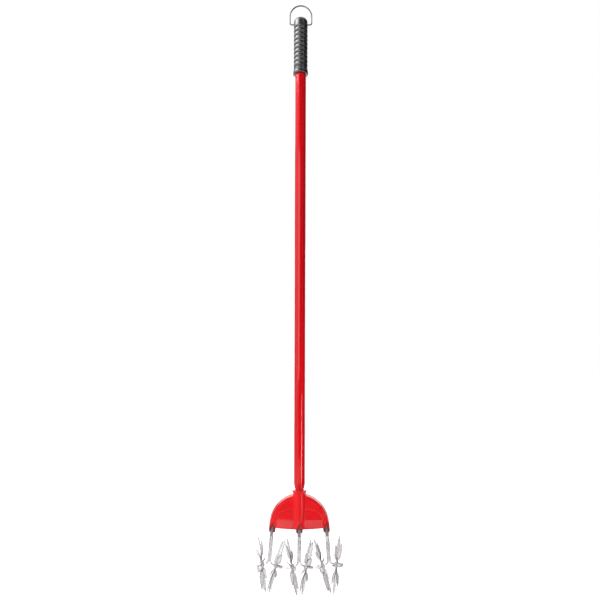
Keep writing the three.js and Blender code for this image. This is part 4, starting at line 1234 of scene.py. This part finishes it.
def makeFloor():
    bm = bmesh.new()
    bmesh.ops.create_grid(bm, x_segments=1, y_segments=1, size=studio["floorSize"] / 2)
    floor = meshObject(bm, "studioFloor")
    floor.location.z = cadBounds[0][2] - studio["floorGap"]
    made = bpy.data.materials.new("floorWhite")
    made.use_nodes = True
    tree = made.node_tree
    tree.nodes.clear()
    tone = studio["floorTone"]
    matte = addNode(tree, "BsdfDiffuse", {"Color": (tone, tone, tone, 1)})
    glow = calculate(tree, "MULTIPLY", seenDirectly(tree), studio["floorGlow"])
    light = addNode(tree, "Emission", {"Strength": glow})
    both = addNode(tree, "AddShader", {0: matte.outputs[0], 1: light.outputs[0]})
    addNode(tree, "OutputMaterial", {"Surface": both.outputs[0]})
    floor.data.materials.append(made)


def aimed(made, place, target):
    made.location = place
    made.rotation_euler = (Vector(target) - Vector(place)).to_track_quat("-Z", "Y").to_euler()


def makePanel(name, place, size, target, material):
    bm = bmesh.new()
    bmesh.ops.create_grid(bm, x_segments=1, y_segments=1, size=0.5)
    bmesh.ops.scale(bm, verts=bm.verts[:], vec=Vector((*size, 1)))
    panel = meshObject(bm, name + "Panel")
    aimed(panel, place, target)
    panel.data.materials.append(material)
    panel.visible_camera = False
    panel.visible_diffuse = False
    panel.visible_shadow = False


def makePanelBlack():
    made, tree, shader = startMaterial("panelBlack")
    tone = studio["panelTone"]
    feed(tree, shader, colour=(tone, tone, tone, 1), rough=studio["panelRough"])
    return made


def makeLamp(name, place, size, brightness, target, spread):
    data = bpy.data.lights.new(name, "AREA")
    data.shape = "RECTANGLE"
    data.size, data.size_y = size
    data.energy = brightness * math.pi * size[0] * size[1]
    data.spread = math.radians(spread)
    lamp = addObject(name, data)
    aimed(lamp, place, target)
    lamp.visible_camera = False


def makeWorld():
    world = bpy.data.worlds.new("studio")
    bpy.context.scene.world = world
    world.use_nodes = True
    tree = world.node_tree
    tree.nodes.clear()
    strength = calculate(tree, "MAXIMUM", seenDirectly(tree), studio["worldLight"])
    back = addNode(tree, "Background", {"Color": (1, 1, 1, 1), "Strength": strength})
    addNode(tree, "OutputWorld", {"Surface": back.outputs[0]})


def makeCamera():
    data = bpy.data.cameras.new("photoCamera")
    data.lens = photoCamera["lens"]
    data.sensor_width = photoCamera["sensor"]
    data.shift_y = photoCamera["shiftY"]
    data.clip_start = photoCamera["nearest"]
    camera = addObject("photoCamera", data)
    camera.location = photoCamera["place"]
    camera.rotation_euler = (quarterTurn, math.radians(photoCamera["roll"]), 0)
    bpy.context.scene.camera = camera


makeFloor()
panelBlack = makePanelBlack()
for name, settings in panels.items():
    makePanel(name, *settings, panelBlack)
for name, settings in lamps.items():
    makeLamp(name, *settings)
makeWorld()
makeCamera()
bpy.context.scene.view_settings.view_transform = "Standard"
print("studio lit")
